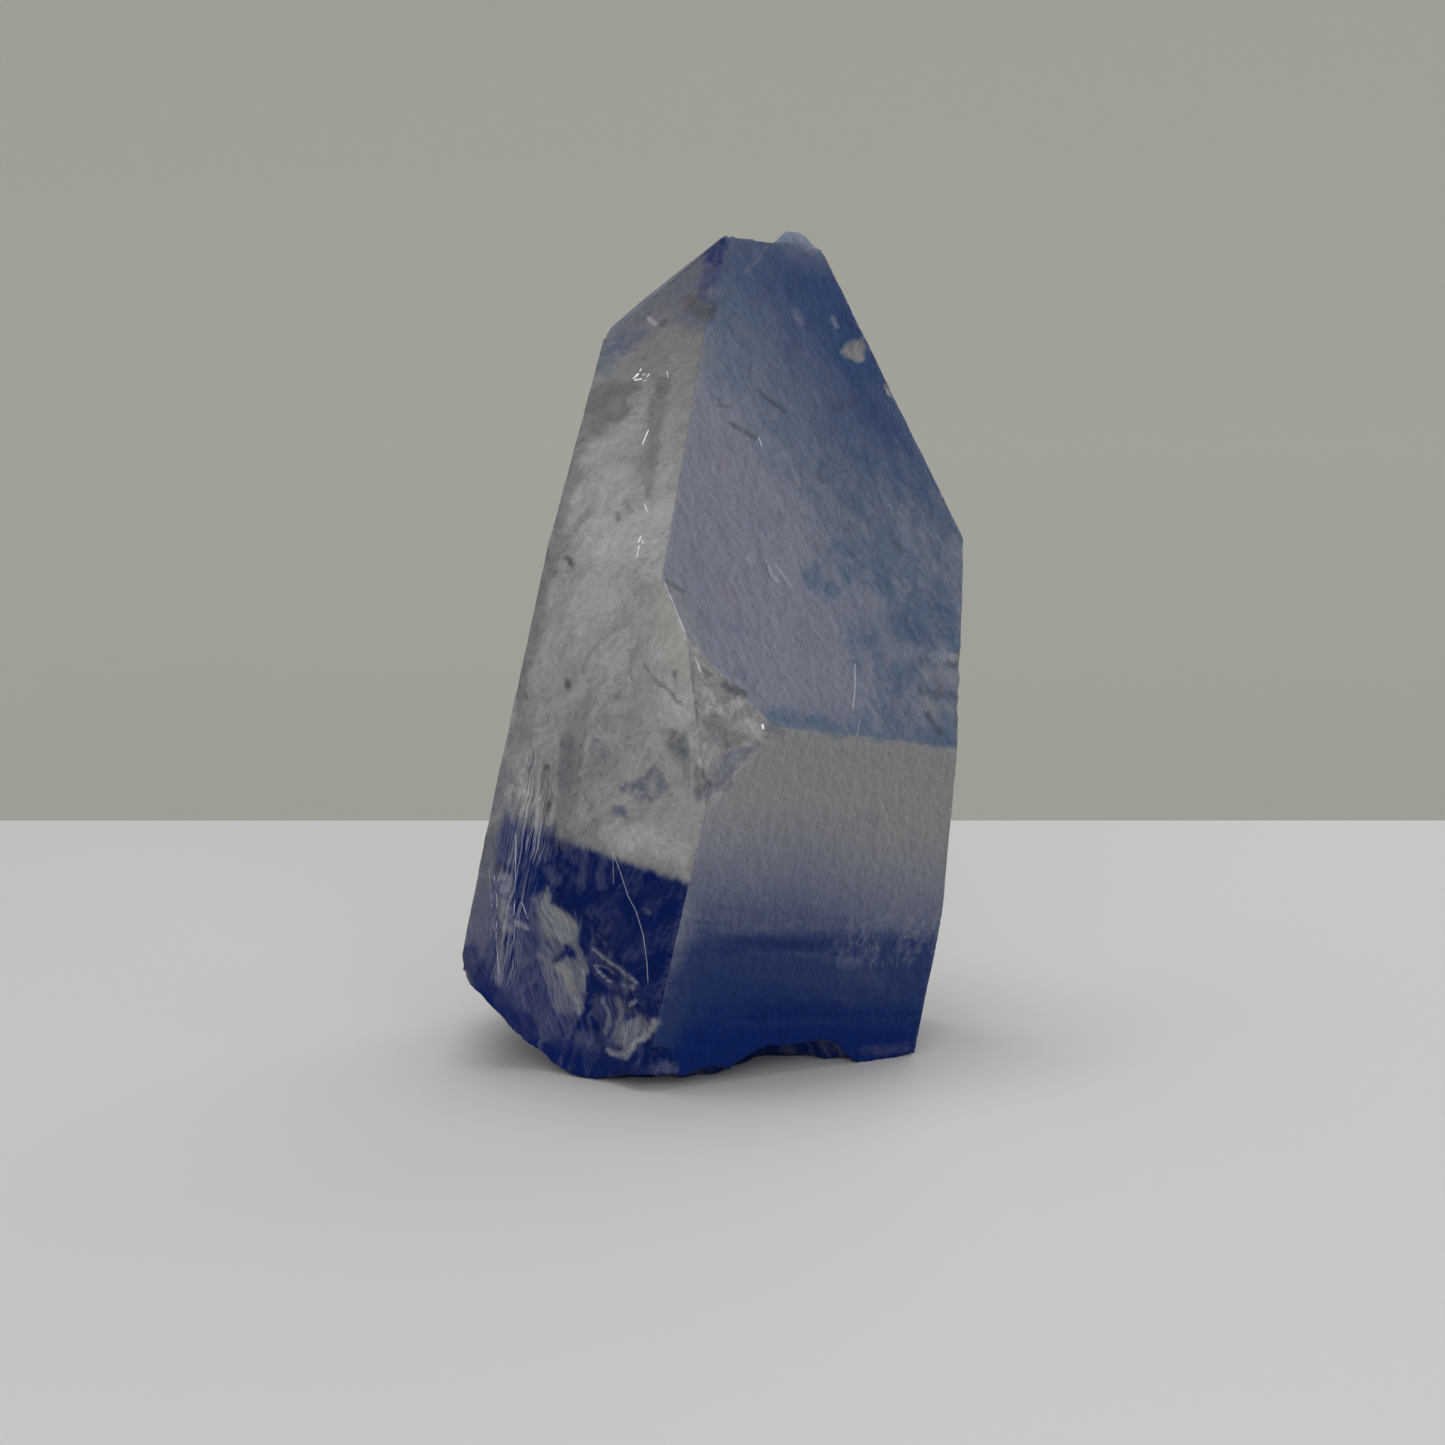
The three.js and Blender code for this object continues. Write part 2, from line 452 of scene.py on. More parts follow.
    def mask(self, kept: Enum) -> Value:
        """A mask kept on the mesh."""
        return Value(self, self.node("ShaderNodeAttribute", {"attribute_name": kept.value}).outputs["Fac"])

    def blend(self, share: Number, first: Any, second: Any) -> Value:
        """A mix of two colours."""
        node = self.node("ShaderNodeMix", {"data_type": "RGBA"}, {"Factor": share, 6: first, 7: second})
        return Value(self, node.outputs[2])

    def ramp(self, value: Number, stops: list[tuple[float, Colour]]) -> Value:
        """A colour from a ramp."""
        return Value(self, self.node("ShaderNodeValToRGB", {"stops": stops}, {0: value}).outputs[0])

    def line(self, place: Value, start: Vector, end: Vector, half_width: float, soft: float) -> Value:
        """A mask for a thin straight mark.

        Args:
            place: the shaded place, in millimetres.
            start: where the mark begins.
            end: where it ends.
            half_width: half its width.
            soft: the width of its soft edge.

        Returns:
            A mask of 1 on the mark.
        """
        run = end - start
        gone = self.vector("SUBTRACT", place, tuple(start))
        share = self.bounded(self.dot(gone, tuple(run / run.length_squared)))
        rest = self.vector("SUBTRACT", gone, self.scaled(tuple(run), share))
        length = self.node("ShaderNodeVectorMath", {"operation": "LENGTH"}, {0: rest})
        return self.rise(Value(self, length.outputs["Value"]), half_width + soft, half_width)


# ---- The quartz.


class Mask(Enum):
    """The masks that the mesh keeps for its material."""

    KNOB = "on_knob"
    BROKEN = "on_break"
    EDGE = "near_edge"


class Tone(Enum):
    """What colour a soft mark inside or on the quartz has: mostly the quartz's own, while some dark marks
    are painted shadows and some pale marks painted highlights.
    """

    PALE = "pale_marks"
    DARK = "dark_marks"
    BLUE = "blue_marks"
    VIOLET = "violet_marks"
    WARM = "warm_marks"
    SHELL = "shell_marks"
    TEAL = "teal_marks"
    FIBRE = "fibrous_marks"
    RIPPLE = "rippled_marks"


@dataclass(frozen=True)
class FrontView:
    """The camera's place, target and lens in millimetres, and its frame in pixels.

    Marks are placed by the pixels of this frame.
    """

    eye: tuple[float, float, float] = (0.2647, -131.0083, 30.933)
    target: tuple[float, float, float] = (0.2647, -0.5603, 12.6003)
    lens: float = 85.0
    sensor: float = 36.0
    frame: int = 1445

    def axes(self) -> tuple[np.ndarray, np.ndarray, np.ndarray]:
        """The directions of the view.

        Returns:
            The directions to the right, up and forwards.
        """
        forward = (Vector(self.target) - Vector(self.eye)).normalized()
        right = forward.cross(Vector((0, 0, 1))).normalized()
        return np.array(right), np.array(right.cross(forward)), np.array(forward)

    def pixels(self, places: np.ndarray) -> np.ndarray:
        """Finds where places show in the frame.

        Args:
            places: the places, one to a row.

        Returns:
            A pixel to the right and one down for each of them.
        """
        right, up, forward = self.axes()
        gone = places - np.array(self.eye)
        scale = self.frame * self.lens / self.sensor / (gone @ forward)
        return np.stack([gone @ right * scale, -(gone @ up) * scale], 1) + self.frame / 2

    def ray(self, across: float, down: float) -> Vector:
        """Finds the direction in which a pixel looks.

        Args:
            across: how many pixels it lies from the left.
            down: how many pixels it lies from the top.

        Returns:
            The direction.
        """
        right, up, forward = self.axes()
        half = self.frame / 2
        run = forward * (self.frame * self.lens / self.sensor)
        return Vector(run + right * (across - half) - up * (down - half)).normalized()

    def facing(self, places: np.ndarray, normals: np.ndarray) -> np.ndarray:
        """How squarely each place faces the eye, from -1 to 1."""
        back = np.array(self.eye) - places
        return np.sum(back * normals, 1) / np.linalg.norm(back, axis=1)


@dataclass(frozen=True)
class Mark:
    """A soft mark along a path, or all over the patch that the path goes round.

    Its path, half width, softness and raggedness are in pixels of the front view, and how deep
    it is sunk is in millimetres.
    """

    tone: Tone
    path: tuple[tuple[float, float], ...]
    width: float
    soft: float
    strength: float = 1.0
    ragged: float = 3.0
    patch: bool = False
    sunk: float = 0.0

    def share(self, pixels: np.ndarray) -> np.ndarray:
        """How strongly the mark shows.

        Args:
            pixels: where in the frame, one place to a row.

        Returns:
            A strength for each place.
        """
        path = np.array(self.path)
        if self.patch:
            path = np.vstack([path, path[:1]])
        nearest = np.full(len(pixels), np.inf)
        inside = np.zeros(len(pixels), bool)
        x, y = pixels.T
        for start, end in zip(path[:-1], path[1:]):
            run = end - start
            along = np.clip(((pixels - start) @ run) / max(run @ run, 1e-9), 0, 1)
            away = np.linalg.norm(pixels - start - along[:, None] * run, axis=1)
            nearest = np.minimum(nearest, away)
            if self.patch and start[1] != end[1]:
                level = (start[1] > y) != (end[1] > y)
                inside ^= level & (x < run[0] * (y - start[1]) / run[1] + start[0])
        if self.patch:
            nearest = np.where(inside, -nearest, nearest)
        return self.strength * ease(-nearest, -self.width - self.soft, -self.width + self.soft * 0.2)


@dataclass(frozen=True)
class Glint:
    """A thin bright line. Its path is in pixels of the front view, its half width in millimetres."""

    path: tuple[tuple[float, float], ...]
    half_width: float = 0.02
    strength: float = 1.0


@dataclass(frozen=True)
class Chip:
    """A chip out of the outline: its place and width in the front view, and its depth in millimetres."""

    place: tuple[float, float]
    width: float
    depth: float


# Each mark gives its tone, path, half width and softness, and then its strength and raggedness.
# Marks on the clear faces at the left, from the point down to the blue zone:
CLEAR_MARKS = (
    Mark(
        Tone.VIOLET,
        ((606, 350), (712, 246), (720, 262), (702, 326), (664, 322), (634, 346)),
        0, 16, 0.75, 6, patch=True,
    ),
    Mark(Tone.BLUE, ((717, 243), (713, 256)), 7, 8, 0.95, 4),
    Mark(Tone.BLUE, ((712, 260), (708, 276), (704, 292)), 4, 9, 0.6, 5),
    Mark(Tone.DARK, ((692, 303), (707, 311)), 6, 9, 0.75, 4),
    Mark(Tone.DARK, ((666, 320), (662, 324)), 2, 3, 0.6, 2),
    Mark(Tone.VIOLET, ((606, 342), (622, 330)), 7, 10, 0.5),
    Mark(Tone.TEAL, ((604, 366), (622, 336)), 6, 10, 0.8),
    Mark(Tone.WARM, ((662, 326), (690, 352), (676, 378)), 12, 16, 0.32, 5),
    Mark(Tone.PALE, ((650, 318), (654, 322)), 2, 4, 0.5, 2),
    Mark(
        Tone.DARK,
        ((594, 384), (632, 380), (640, 392), (618, 414), (602, 434), (588, 430)),
        0, 9, 0.62, 8, patch=True,
    ),
    Mark(
        Tone.DARK,
        ((654, 376), (670, 374), (670, 398), (660, 440), (651, 506), (645, 500), (647, 450)),
        -1, 6, 0.5, 5, patch=True,
    ),
    Mark(Tone.DARK, ((588, 392), (570, 468), (548, 555), (526, 650), (513, 700)), 7, 12, 0.6, 7),
    Mark(Tone.PALE, ((642, 396), (622, 446)), 8, 14, 0.3, 9),
    Mark(Tone.PALE, ((600, 452), (612, 500), (596, 560)), 12, 18, 0.3, 12),
    Mark(Tone.PALE, ((622, 540), (604, 600), (596, 650)), 14, 22, 0.26, 12),
    Mark(Tone.PALE, ((672, 400), (664, 500), (655, 560)), 5, 9, 0.22, 3),
    Mark(Tone.WARM, ((668, 600), (690, 660)), 16, 12, 0.3, 5),
    Mark(Tone.DARK, ((560, 548), (589, 506)), 3, 9, 0.5, 3),
    Mark(Tone.PALE, ((566, 530), (590, 501)), 1, 3.5, 0.4, 1),
    Mark(Tone.DARK, ((624, 502), (629, 511)), 2, 5, 0.6, 3),
    Mark(Tone.DARK, ((617, 515), (619, 519)), 1.5, 4, 0.85),
    Mark(Tone.DARK, ((572, 563), (567, 557)), 2, 4, 0.8, 2),
    Mark(Tone.DARK, ((641, 462), (647, 482)), 4, 7, 0.4, 4),
    Mark(Tone.DARK, ((582, 673), (587, 658), (597, 645), (609, 635), (617, 626)), 0.4, 3.2, 0.6, 1),
    Mark(Tone.DARK, ((643, 665), (652, 676), (665, 687), (678, 702)), 0.4, 3.2, 0.6, 1),
    Mark(Tone.DARK, ((560, 658), (566, 645), (578, 634)), 0.5, 3.5, 0.45, 2),
    Mark(Tone.DARK, ((640, 640), (632, 660), (626, 676)), 1.5, 6, 0.3, 4),
    # A dark wedge in the lower clear face, a painted shadow.
    Mark(
        Tone.DARK,
        ((591, 682), (582, 780), (571, 848), (553, 850), (560, 740), (574, 716)),
        0, 3, 0.34, 2, patch=True,
    ),
    Mark(Tone.VIOLET, ((568, 744), (566, 790)), 6, 7, 0.4, 3),
    Mark(Tone.PALE, ((589, 742), (583, 772)), 2, 5, 0.4, 3),
    Mark(Tone.DARK, ((530, 700), (520, 745)), 8, 14, 0.35, 8),
    Mark(Tone.VIOLET, ((500, 768), (496, 826)), 7, 10, 0.6, 5),
    Mark(
        Tone.VIOLET,
        ((645, 776), (655, 770), (664, 778), (670, 790), (658, 802), (644, 800), (632, 796)),
        0, 5, 0.95, 9, patch=True,
    ),
    Mark(Tone.VIOLET, ((627, 786), (640, 780)), 4, 5, 0.8, 6),
    Mark(Tone.VIOLET, ((615, 812), (625, 813)), 3, 5, 0.85, 4),
    Mark(Tone.VIOLET, ((597, 745), (603, 757)), 4, 7, 0.55, 5),
    Mark(Tone.VIOLET, ((611, 697), (621, 698)), 2, 4, 0.6, 3),
    Mark(Tone.VIOLET, ((622, 716), (634, 720)), 4, 8, 0.4, 4),
    Mark(Tone.VIOLET, ((615, 756), (619, 762)), 2, 5, 0.4, 3),
    Mark(Tone.DARK, ((674, 742), (688, 762), (694, 784)), 7, 9, 0.55, 6),
    Mark(Tone.TEAL, ((676, 742), (686, 752)), 5, 7, 0.7, 5),
    Mark(Tone.DARK, ((660, 730), (668, 734)), 3, 6, 0.4, 3),
    Mark(Tone.PALE, ((612, 834), (642, 838), (678, 852)), 8, 14, 0.5, 7),
    Mark(Tone.PALE, ((655, 724), (674, 714)), 8, 14, 0.32, 7),
    Mark(Tone.DARK, ((656, 682), (672, 695), (682, 706)), 0.8, 3, 0.7, 2),
    Mark(Tone.PALE, ((662, 690), (680, 706), (688, 716)), 1.5, 3, 0.6, 2),
    # A pale line along the edge to the broad face: partly wear, partly a painted highlight.
    Mark(Tone.PALE, ((663, 579), (684, 632), (703, 677)), 1.0, 3.0, 0.35, 0.5),
    Mark(Tone.PALE, ((514, 696), (506, 730), (499, 762)), 2, 5, 0.45, 2),
    Mark(Tone.DARK, ((507, 718), (500, 752)), 0.8, 2.5, 0.7, 0.5),
    Mark(Tone.DARK, ((568, 682), (568, 686)), 2, 4, 0.8, 1),
    Mark(Tone.DARK, ((675, 673), (675, 677)), 1.4, 2.5, 0.85, 1),
    Mark(Tone.DARK, ((545, 768), (547, 768)), 2.4, 2, 1.0, 1),
    Mark(Tone.DARK, ((549, 803), (548, 810)), 1.2, 3, 0.9, 1),
    Mark(Tone.DARK, ((524, 692), (527, 698)), 1.2, 3.5, 0.8, 1),
    Mark(Tone.RIPPLE, ((645, 668), (690, 670), (702, 690), (672, 704)), 2, 12, 1.0, 6, patch=True),
    Mark(Tone.RIPPLE, ((584, 640), (612, 690), (560, 700), (552, 640)), 0, 20, 0.5, 8, patch=True),
)

# Marks on the broad face and the front prism face:
FROST_MARKS = (
    Mark(Tone.BLUE, ((776, 300), (800, 330)), 7, 20, 0.22, 8),
    Mark(Tone.BLUE, ((786, 344), (792, 360)), 2, 7, 0.3, 3),
    Mark(Tone.BLUE, ((846, 312), (852, 330)), 5, 12, 0.3, 6),
    Mark(Tone.BLUE, ((872, 412), (900, 450)), 8, 20, 0.26, 10),
    Mark(Tone.TEAL, ((718, 290), (742, 340), (730, 380)), 12, 26, 0.5, 10),
    Mark(Tone.TEAL, ((768, 410), (800, 440)), 10, 24, 0.35, 12),
    Mark(Tone.WARM, ((806, 474), (818, 486)), 6, 12, 0.2, 6),
    Mark(Tone.WARM, ((846, 520), (862, 530)), 7, 12, 0.16, 6),
    Mark(
        Tone.WARM,
        ((842, 352), (853, 341), (862, 338), (864, 358), (857, 361)),
        -1, 6, 0.75, 2, patch=True, sunk=0.06,
    ),
    Mark(Tone.WARM, ((798, 246), (820, 252)), 8, 26, 0.16, 6),
    Mark(Tone.WARM, ((774, 268), (792, 276)), 10, 26, 0.1, 6),
    Mark(Tone.PALE, ((795, 312), (802, 322)), 2.0, 8, 0.24, 4),
    Mark(Tone.PALE, ((833, 317), (837, 326)), 1.2, 4, 0.3, 1),
    # Painted sheen on the knob.
    Mark(Tone.PALE, ((793, 232), (806, 238), (812, 246)), 6, 12, 0.28, 2),
    Mark(Tone.PALE, ((767, 246), (757, 261), (747, 271)), 0.8, 4.5, 0.22, 1.0, sunk=0.04),
    Mark(Tone.DARK, ((768, 243), (771, 262)), 1.5, 5, 0.3, 1),
    Mark(Tone.DARK, ((760, 391), (772, 402), (786, 413)), 1.0, 3.5, 0.6, 1, sunk=0.04),
    Mark(Tone.DARK, ((730, 423), (742, 430), (755, 438)), 1.0, 3.5, 0.55, 1, sunk=0.04),
    Mark(Tone.DARK, ((717, 405), (731, 406)), 0.6, 3.5, 0.4, 1),
    Mark(Tone.DARK, ((818, 470), (824, 482)), 0.8, 3, 0.4, 1),
    Mark(Tone.DARK, ((780, 512), (785, 524)), 0.6, 2.5, 0.4, 1),
    Mark(Tone.DARK, ((855, 396), (856, 398)), 1.2, 2.2, 0.9, 0.5),
    Mark(Tone.DARK, ((836, 408), (852, 402)), 3, 9, 0.35, 5),
    Mark(Tone.PALE, ((767, 560), (771, 572), (778, 582)), 0.7, 2.6, 0.5, 1, sunk=0.03),
    Mark(Tone.PALE, ((776, 563), (784, 575), (790, 585)), 0.7, 2.6, 0.4, 1, sunk=0.03),
    Mark(Tone.PALE, ((748, 556), (752, 562)), 2, 5, 0.25, 2),
    Mark(Tone.DARK, ((764, 562), (770, 578)), 0.7, 3, 0.35, 1),
    Mark(Tone.TEAL, ((812, 574), (828, 592)), 6, 9, 0.85, 8),
    Mark(Tone.TEAL, ((834, 548), (846, 562), (842, 584)), 5, 9, 0.85, 8),
    Mark(Tone.TEAL, ((868, 556), (894, 584), (912, 620)), 10, 18, 0.7, 12),
    Mark(Tone.TEAL, ((894, 548), (936, 600), (944, 640)), 12, 20, 0.6, 12),
    Mark(Tone.BLUE, ((908, 612), (922, 636)), 5, 12, 0.26, 8),
    Mark(Tone.BLUE, ((940, 590), (946, 632)), 6, 14, 0.22, 6),
    Mark(Tone.TEAL, ((866, 640), (890, 680), (880, 716)), 12, 18, 0.7, 12),
    Mark(Tone.BLUE, ((894, 684), (902, 716)), 7, 14, 0.26, 8),
    Mark(Tone.TEAL, ((776, 716), (812, 722), (850, 730)), 5, 10, 0.8, 6),
    Mark(Tone.BLUE, ((768, 728), (782, 733)), 2, 6, 0.4, 2),
    Mark(Tone.TEAL, ((860, 728), (905, 734), (948, 740)), 6, 10, 0.7, 5),
    Mark(Tone.PALE, ((936, 656), (957, 660)), 3, 7, 0.3, 3),
    Mark(Tone.WARM, ((926, 672), (954, 676)), 4, 7, 0.3, 3),
    Mark(Tone.DARK, ((948, 662), (957, 666)), 2, 4, 0.5, 2, sunk=0.05),
    Mark(Tone.DARK, ((924, 692), (956, 696)), 3, 6, 0.4, 3, sunk=0.04),
    Mark(Tone.WARM, ((930, 706), (955, 709)), 4, 7, 0.3, 3),
    Mark(Tone.DARK, ((894, 540), (904, 552)), 0.8, 3, 0.5, 1),
    Mark(Tone.DARK, ((927, 714), (934, 722), (941, 733)), 1.2, 3.5, 0.75, 1, sunk=0.04),
    Mark(Tone.DARK, ((664, 580), (684, 591)), 1.0, 4, 0.5, 1),
    Mark(Tone.DARK, ((702, 668), (711, 674)), 0.8, 3, 0.7, 1),
    # Painted shadow beside the chip at the etched corner.
    Mark(Tone.DARK, ((726, 684), (734, 690), (743, 694)), 2.5, 5, 0.85, 2),
    Mark(Tone.BLUE, ((738, 672), (746, 676)), 3, 7, 0.3, 3),
    Mark(Tone.VIOLET, ((734, 628), (752, 632)), 4, 9, 0.3, 4),
    # The front prism face: its pale left margin, smudges, and bands across its foot.
    Mark(Tone.PALE, ((704, 802), (712, 846), (728, 830)), 14, 22, 0.16, 10),
    Mark(Tone.VIOLET, ((712, 782), (722, 772), (730, 764)), 4, 7, 0.6, 6),
    Mark(Tone.VIOLET, ((745, 752), (758, 746)), 3, 8, 0.4, 4),
    Mark(Tone.VIOLET, ((862, 816), (874, 818)), 5, 9, 0.3, 4),
    Mark(Tone.BLUE, ((724, 948), (828, 945)), 4, 9, 0.45, 4),
    Mark(Tone.BLUE, ((752, 1012), (836, 1009)), 5, 11, 0.5, 5),
    Mark(Tone.VIOLET, ((842, 918), (845, 956), (843, 996)), 3, 12, 0.3, 6),
    Mark(Tone.VIOLET, ((860, 970), (886, 988)), 5, 10, 0.3, 8),
    Mark(Tone.VIOLET, ((864, 1051), (906, 1048)), 3, 6, 0.5, 2),
    Mark(Tone.VIOLET, ((652, 1070), (664, 1067), (674, 1070)), 3, 6, 0.6, 3),
)

# Marks in the etched corner:
ETCH_MARKS = (
    Mark(Tone.PALE, ((724, 712), (738, 706)), 5, 7, 0.55, 7),
    Mark(Tone.PALE, ((752, 722), (757, 735)), 3, 5, 0.4, 4),
    Mark(Tone.PALE, ((700, 690), (712, 696)), 4, 7, 0.35, 4),
    Mark(Tone.DARK, ((712, 726), (728, 738)), 7, 10, 0.4, 8),
    Mark(Tone.VIOLET, ((700, 796), (716, 782), (735, 762), (744, 752)), 5, 9, 0.65, 8),
    Mark(Tone.DARK, ((700, 770), (706, 778), (711, 787)), 0.9, 2.5, 0.8, 1),
    Mark(Tone.PALE, ((684, 720), (694, 760), (690, 790)), 1.5, 4, 0.4, 4),
    Mark(Tone.PALE, ((704, 744), (700, 766)), 1.0, 3, 0.4, 3),
)

# Marks in the break at the lower left and beside it: first its fibres, then the claw that the
# break left, the leaf beside it and the fan under them:
BREAK_MARKS = (
    Mark(Tone.FIBRE, ((533, 764), (535, 800), (537, 850)), 8, 10, 1.0, 5),
    Mark(Tone.FIBRE, ((526, 790), (512, 880), (506, 970)), 9, 14, 0.65, 4),
    Mark(Tone.DARK, ((532, 768), (531, 800)), 0.4, 2.5, 0.5, 1),
    Mark(Tone.VIOLET, ((500, 832), (503, 850)), 8, 9, 0.7, 5),
    Mark(Tone.VIOLET, ((490, 905), (484, 930), (474, 958)), 12, 14, 0.75, 6),
    Mark(Tone.DARK, ((485, 835), (480, 856)), 1.5, 4, 0.7, 2),
    Mark(Tone.DARK, ((497, 866), (502, 874)), 2, 4, 0.8, 3),
    Mark(Tone.DARK, ((499, 895), (503, 950)), 1.2, 4, 0.6, 2),
    Mark(Tone.VIOLET, ((476, 925), (498, 980), (532, 1022)), 12, 14, 0.62, 8),
    Mark(Tone.VIOLET, ((556, 1034), (590, 1046)), 8, 10, 0.5, 7),
    Mark(Tone.PALE, ((505, 880), (507, 930)), 4, 8, 0.35, 3),
    Mark(Tone.PALE, ((516, 924), (526, 928)), 2, 4, 0.45, 2),
    Mark(Tone.BLUE, ((470, 952), (478, 978), (500, 1006), (530, 1032)), 6, 10, 0.7, 6),
    Mark(
        Tone.VIOLET,
        ((530, 915), (541, 950), (556, 975), (568, 1010), (572, 1034), (548, 1028), (524, 990), (516, 945)),
        0, 10, 0.8, 7, patch=True,
    ),
    # The claw and its tail.
    Mark(
        Tone.SHELL,
        (
            (545, 888), (549, 902), (562, 913), (573, 922), (578, 933), (577, 947), (568, 946),
            (556, 943), (546, 936), (540, 924), (536, 908),
        ),
        -2, 7, 0.78, 5, patch=True, sunk=-0.05,
    ),
    Mark(Tone.SHELL, ((537, 902), (543, 926), (556, 950)), 4, 13, 0.4, 6),
    Mark(Tone.SHELL, ((546, 956), (554, 984), (567, 1008)), 4, 14, 0.4, 7),
    Mark(Tone.WARM, ((551, 908), (563, 916), (574, 927)), 2, 6, 0.5, 2),
    Mark(Tone.VIOLET, ((532, 912), (538, 928), (548, 944)), 4, 8, 0.6, 4),
    Mark(Tone.SHELL, ((575, 944), (581, 956), (585, 972)), 2.5, 5, 0.55, 3),
    Mark(
        Tone.SHELL,
        (
            (553, 964), (566, 960), (580, 964), (586, 984), (583, 1004), (577, 1018), (570, 1010),
            (563, 992), (555, 976),
        ),
        -3, 8, 0.6, 7, patch=True, sunk=-0.04,
    ),
    Mark(Tone.WARM, ((558, 966), (566, 974), (572, 988)), 2.5, 6, 0.55, 3),
    Mark(Tone.PALE, ((574, 996), (578, 1004), (579, 1014)), 0.8, 3, 0.4, 2),
    Mark(Tone.PALE, ((583, 970), (584, 990)), 0.6, 2.5, 0.35, 1),
    # The leaf.
    Mark(
        Tone.VIOLET,
        (
            (592, 945), (601, 953), (610, 962), (622, 968), (633, 978), (638, 986), (636, 991),
            (627, 994), (613, 990), (601, 982), (594, 975), (591, 960),
        ),
        0, 4, 0.5, 2, patch=True, sunk=-0.06,
    ),
    Mark(Tone.PALE, ((593, 949), (606, 960), (622, 970), (636, 983)), 0.5, 2.4, 0.34, 1.5),
    Mark(Tone.PALE, ((622, 984), (633, 989)), 1.6, 3, 0.28, 2),
    Mark(Tone.SHELL, ((594, 949), (609, 962), (622, 971), (636, 984)), 0.3, 4, 0.42, 2),
    Mark(Tone.BLUE, ((602, 972), (614, 978)), 3, 3, 1.0, 1, sunk=0.05),
    Mark(Tone.PALE, ((595, 965), (598, 972), (605, 978), (611, 982)), 0.4, 2.6, 0.5, 1),
    Mark(Tone.PALE, ((598, 966), (606, 968), (614, 974)), 0.2, 2, 0.35, 1),
    # Painted shadow under the leaf, between it and the fan.
    Mark(Tone.BLUE, ((604, 990), (624, 997), (640, 999)), 1.5, 4, 0.8, 2),
    # The fan.
    Mark(
        Tone.VIOLET,
        (
            (598, 996), (622, 996), (637, 1008), (656, 1022), (636, 1044), (612, 1058), (598, 1036),
            (593, 1012),
        ),
        -1, 5, 0.55, 5, patch=True, sunk=-0.04,
    ),
    Mark(Tone.SHELL, ((656, 1023), (646, 1033), (637, 1043), (625, 1055)), 1.2, 6, 0.6, 5, sunk=-0.03),
    Mark(
        Tone.SHELL,
        ((640, 1014), (652, 1022), (640, 1036), (622, 1050), (614, 1042), (622, 1024)),
        -2, 6, 0.6, 4, patch=True, sunk=-0.03,
    ),
    # Painted highlights along the fan's ridge and its lower edge.
    Mark(Tone.PALE, ((655, 1024), (641, 1040), (621, 1055)), 1.6, 3, 0.42, 4),
    Mark(Tone.PALE, ((607, 1051), (622, 1057)), 2, 4, 0.36, 3),
    Mark(Tone.SHELL, ((604, 999), (609, 1016), (604, 1030)), 1.0, 5, 0.5, 4),
    Mark(Tone.SHELL, ((616, 998), (620, 1012), (614, 1036)), 1.0, 5, 0.45, 4),
    Mark(Tone.PALE, ((631, 1005), (635, 1002)), 1.4, 2.4, 0.6, 1),
    Mark(Tone.DARK, ((626, 1008), (630, 1012)), 1.0, 3, 0.7, 1),
    # Veils in the blue beside them.
    Mark(Tone.VIOLET, ((604, 908), (620, 926), (612, 940)), 8, 12, 0.22, 8),
    Mark(Tone.VIOLET, ((584, 846), (582, 884)), 2.5, 6, 0.6, 3),
    Mark(Tone.VIOLET, ((603, 850), (601, 888)), 2, 6, 0.5, 3),
    Mark(Tone.VIOLET, ((566, 843), (574, 856)), 5, 8, 0.5, 4),
    Mark(Tone.VIOLET, ((548, 870), (556, 880)), 3, 6, 0.6, 4),
    Mark(Tone.PALE, ((643, 910), (651, 912)), 0.8, 3, 0.25, 1),
    Mark(Tone.BLUE, ((560, 1050), (600, 1066), (640, 1072)), 7, 8, 0.8, 4),
)

MARKS = CLEAR_MARKS + FROST_MARKS + ETCH_MARKS + BREAK_MARKS

# Chips out of the left edge and the foot, and then out of the right edge.
CHIPS = (
    Chip((458, 970), 9.0, 0.17),
    Chip((479, 998), 5.0, 0.05),
    Chip((516, 1022), 6.0, 0.07),
    Chip((542, 1055), 5.0, 0.05),
    Chip((960, 668), 5.0, 0.07),
    Chip((960, 690), 4.0, 0.05),
    Chip((961, 708), 6.0, 0.06),
    Chip((958, 548), 9.0, 0.06),
)

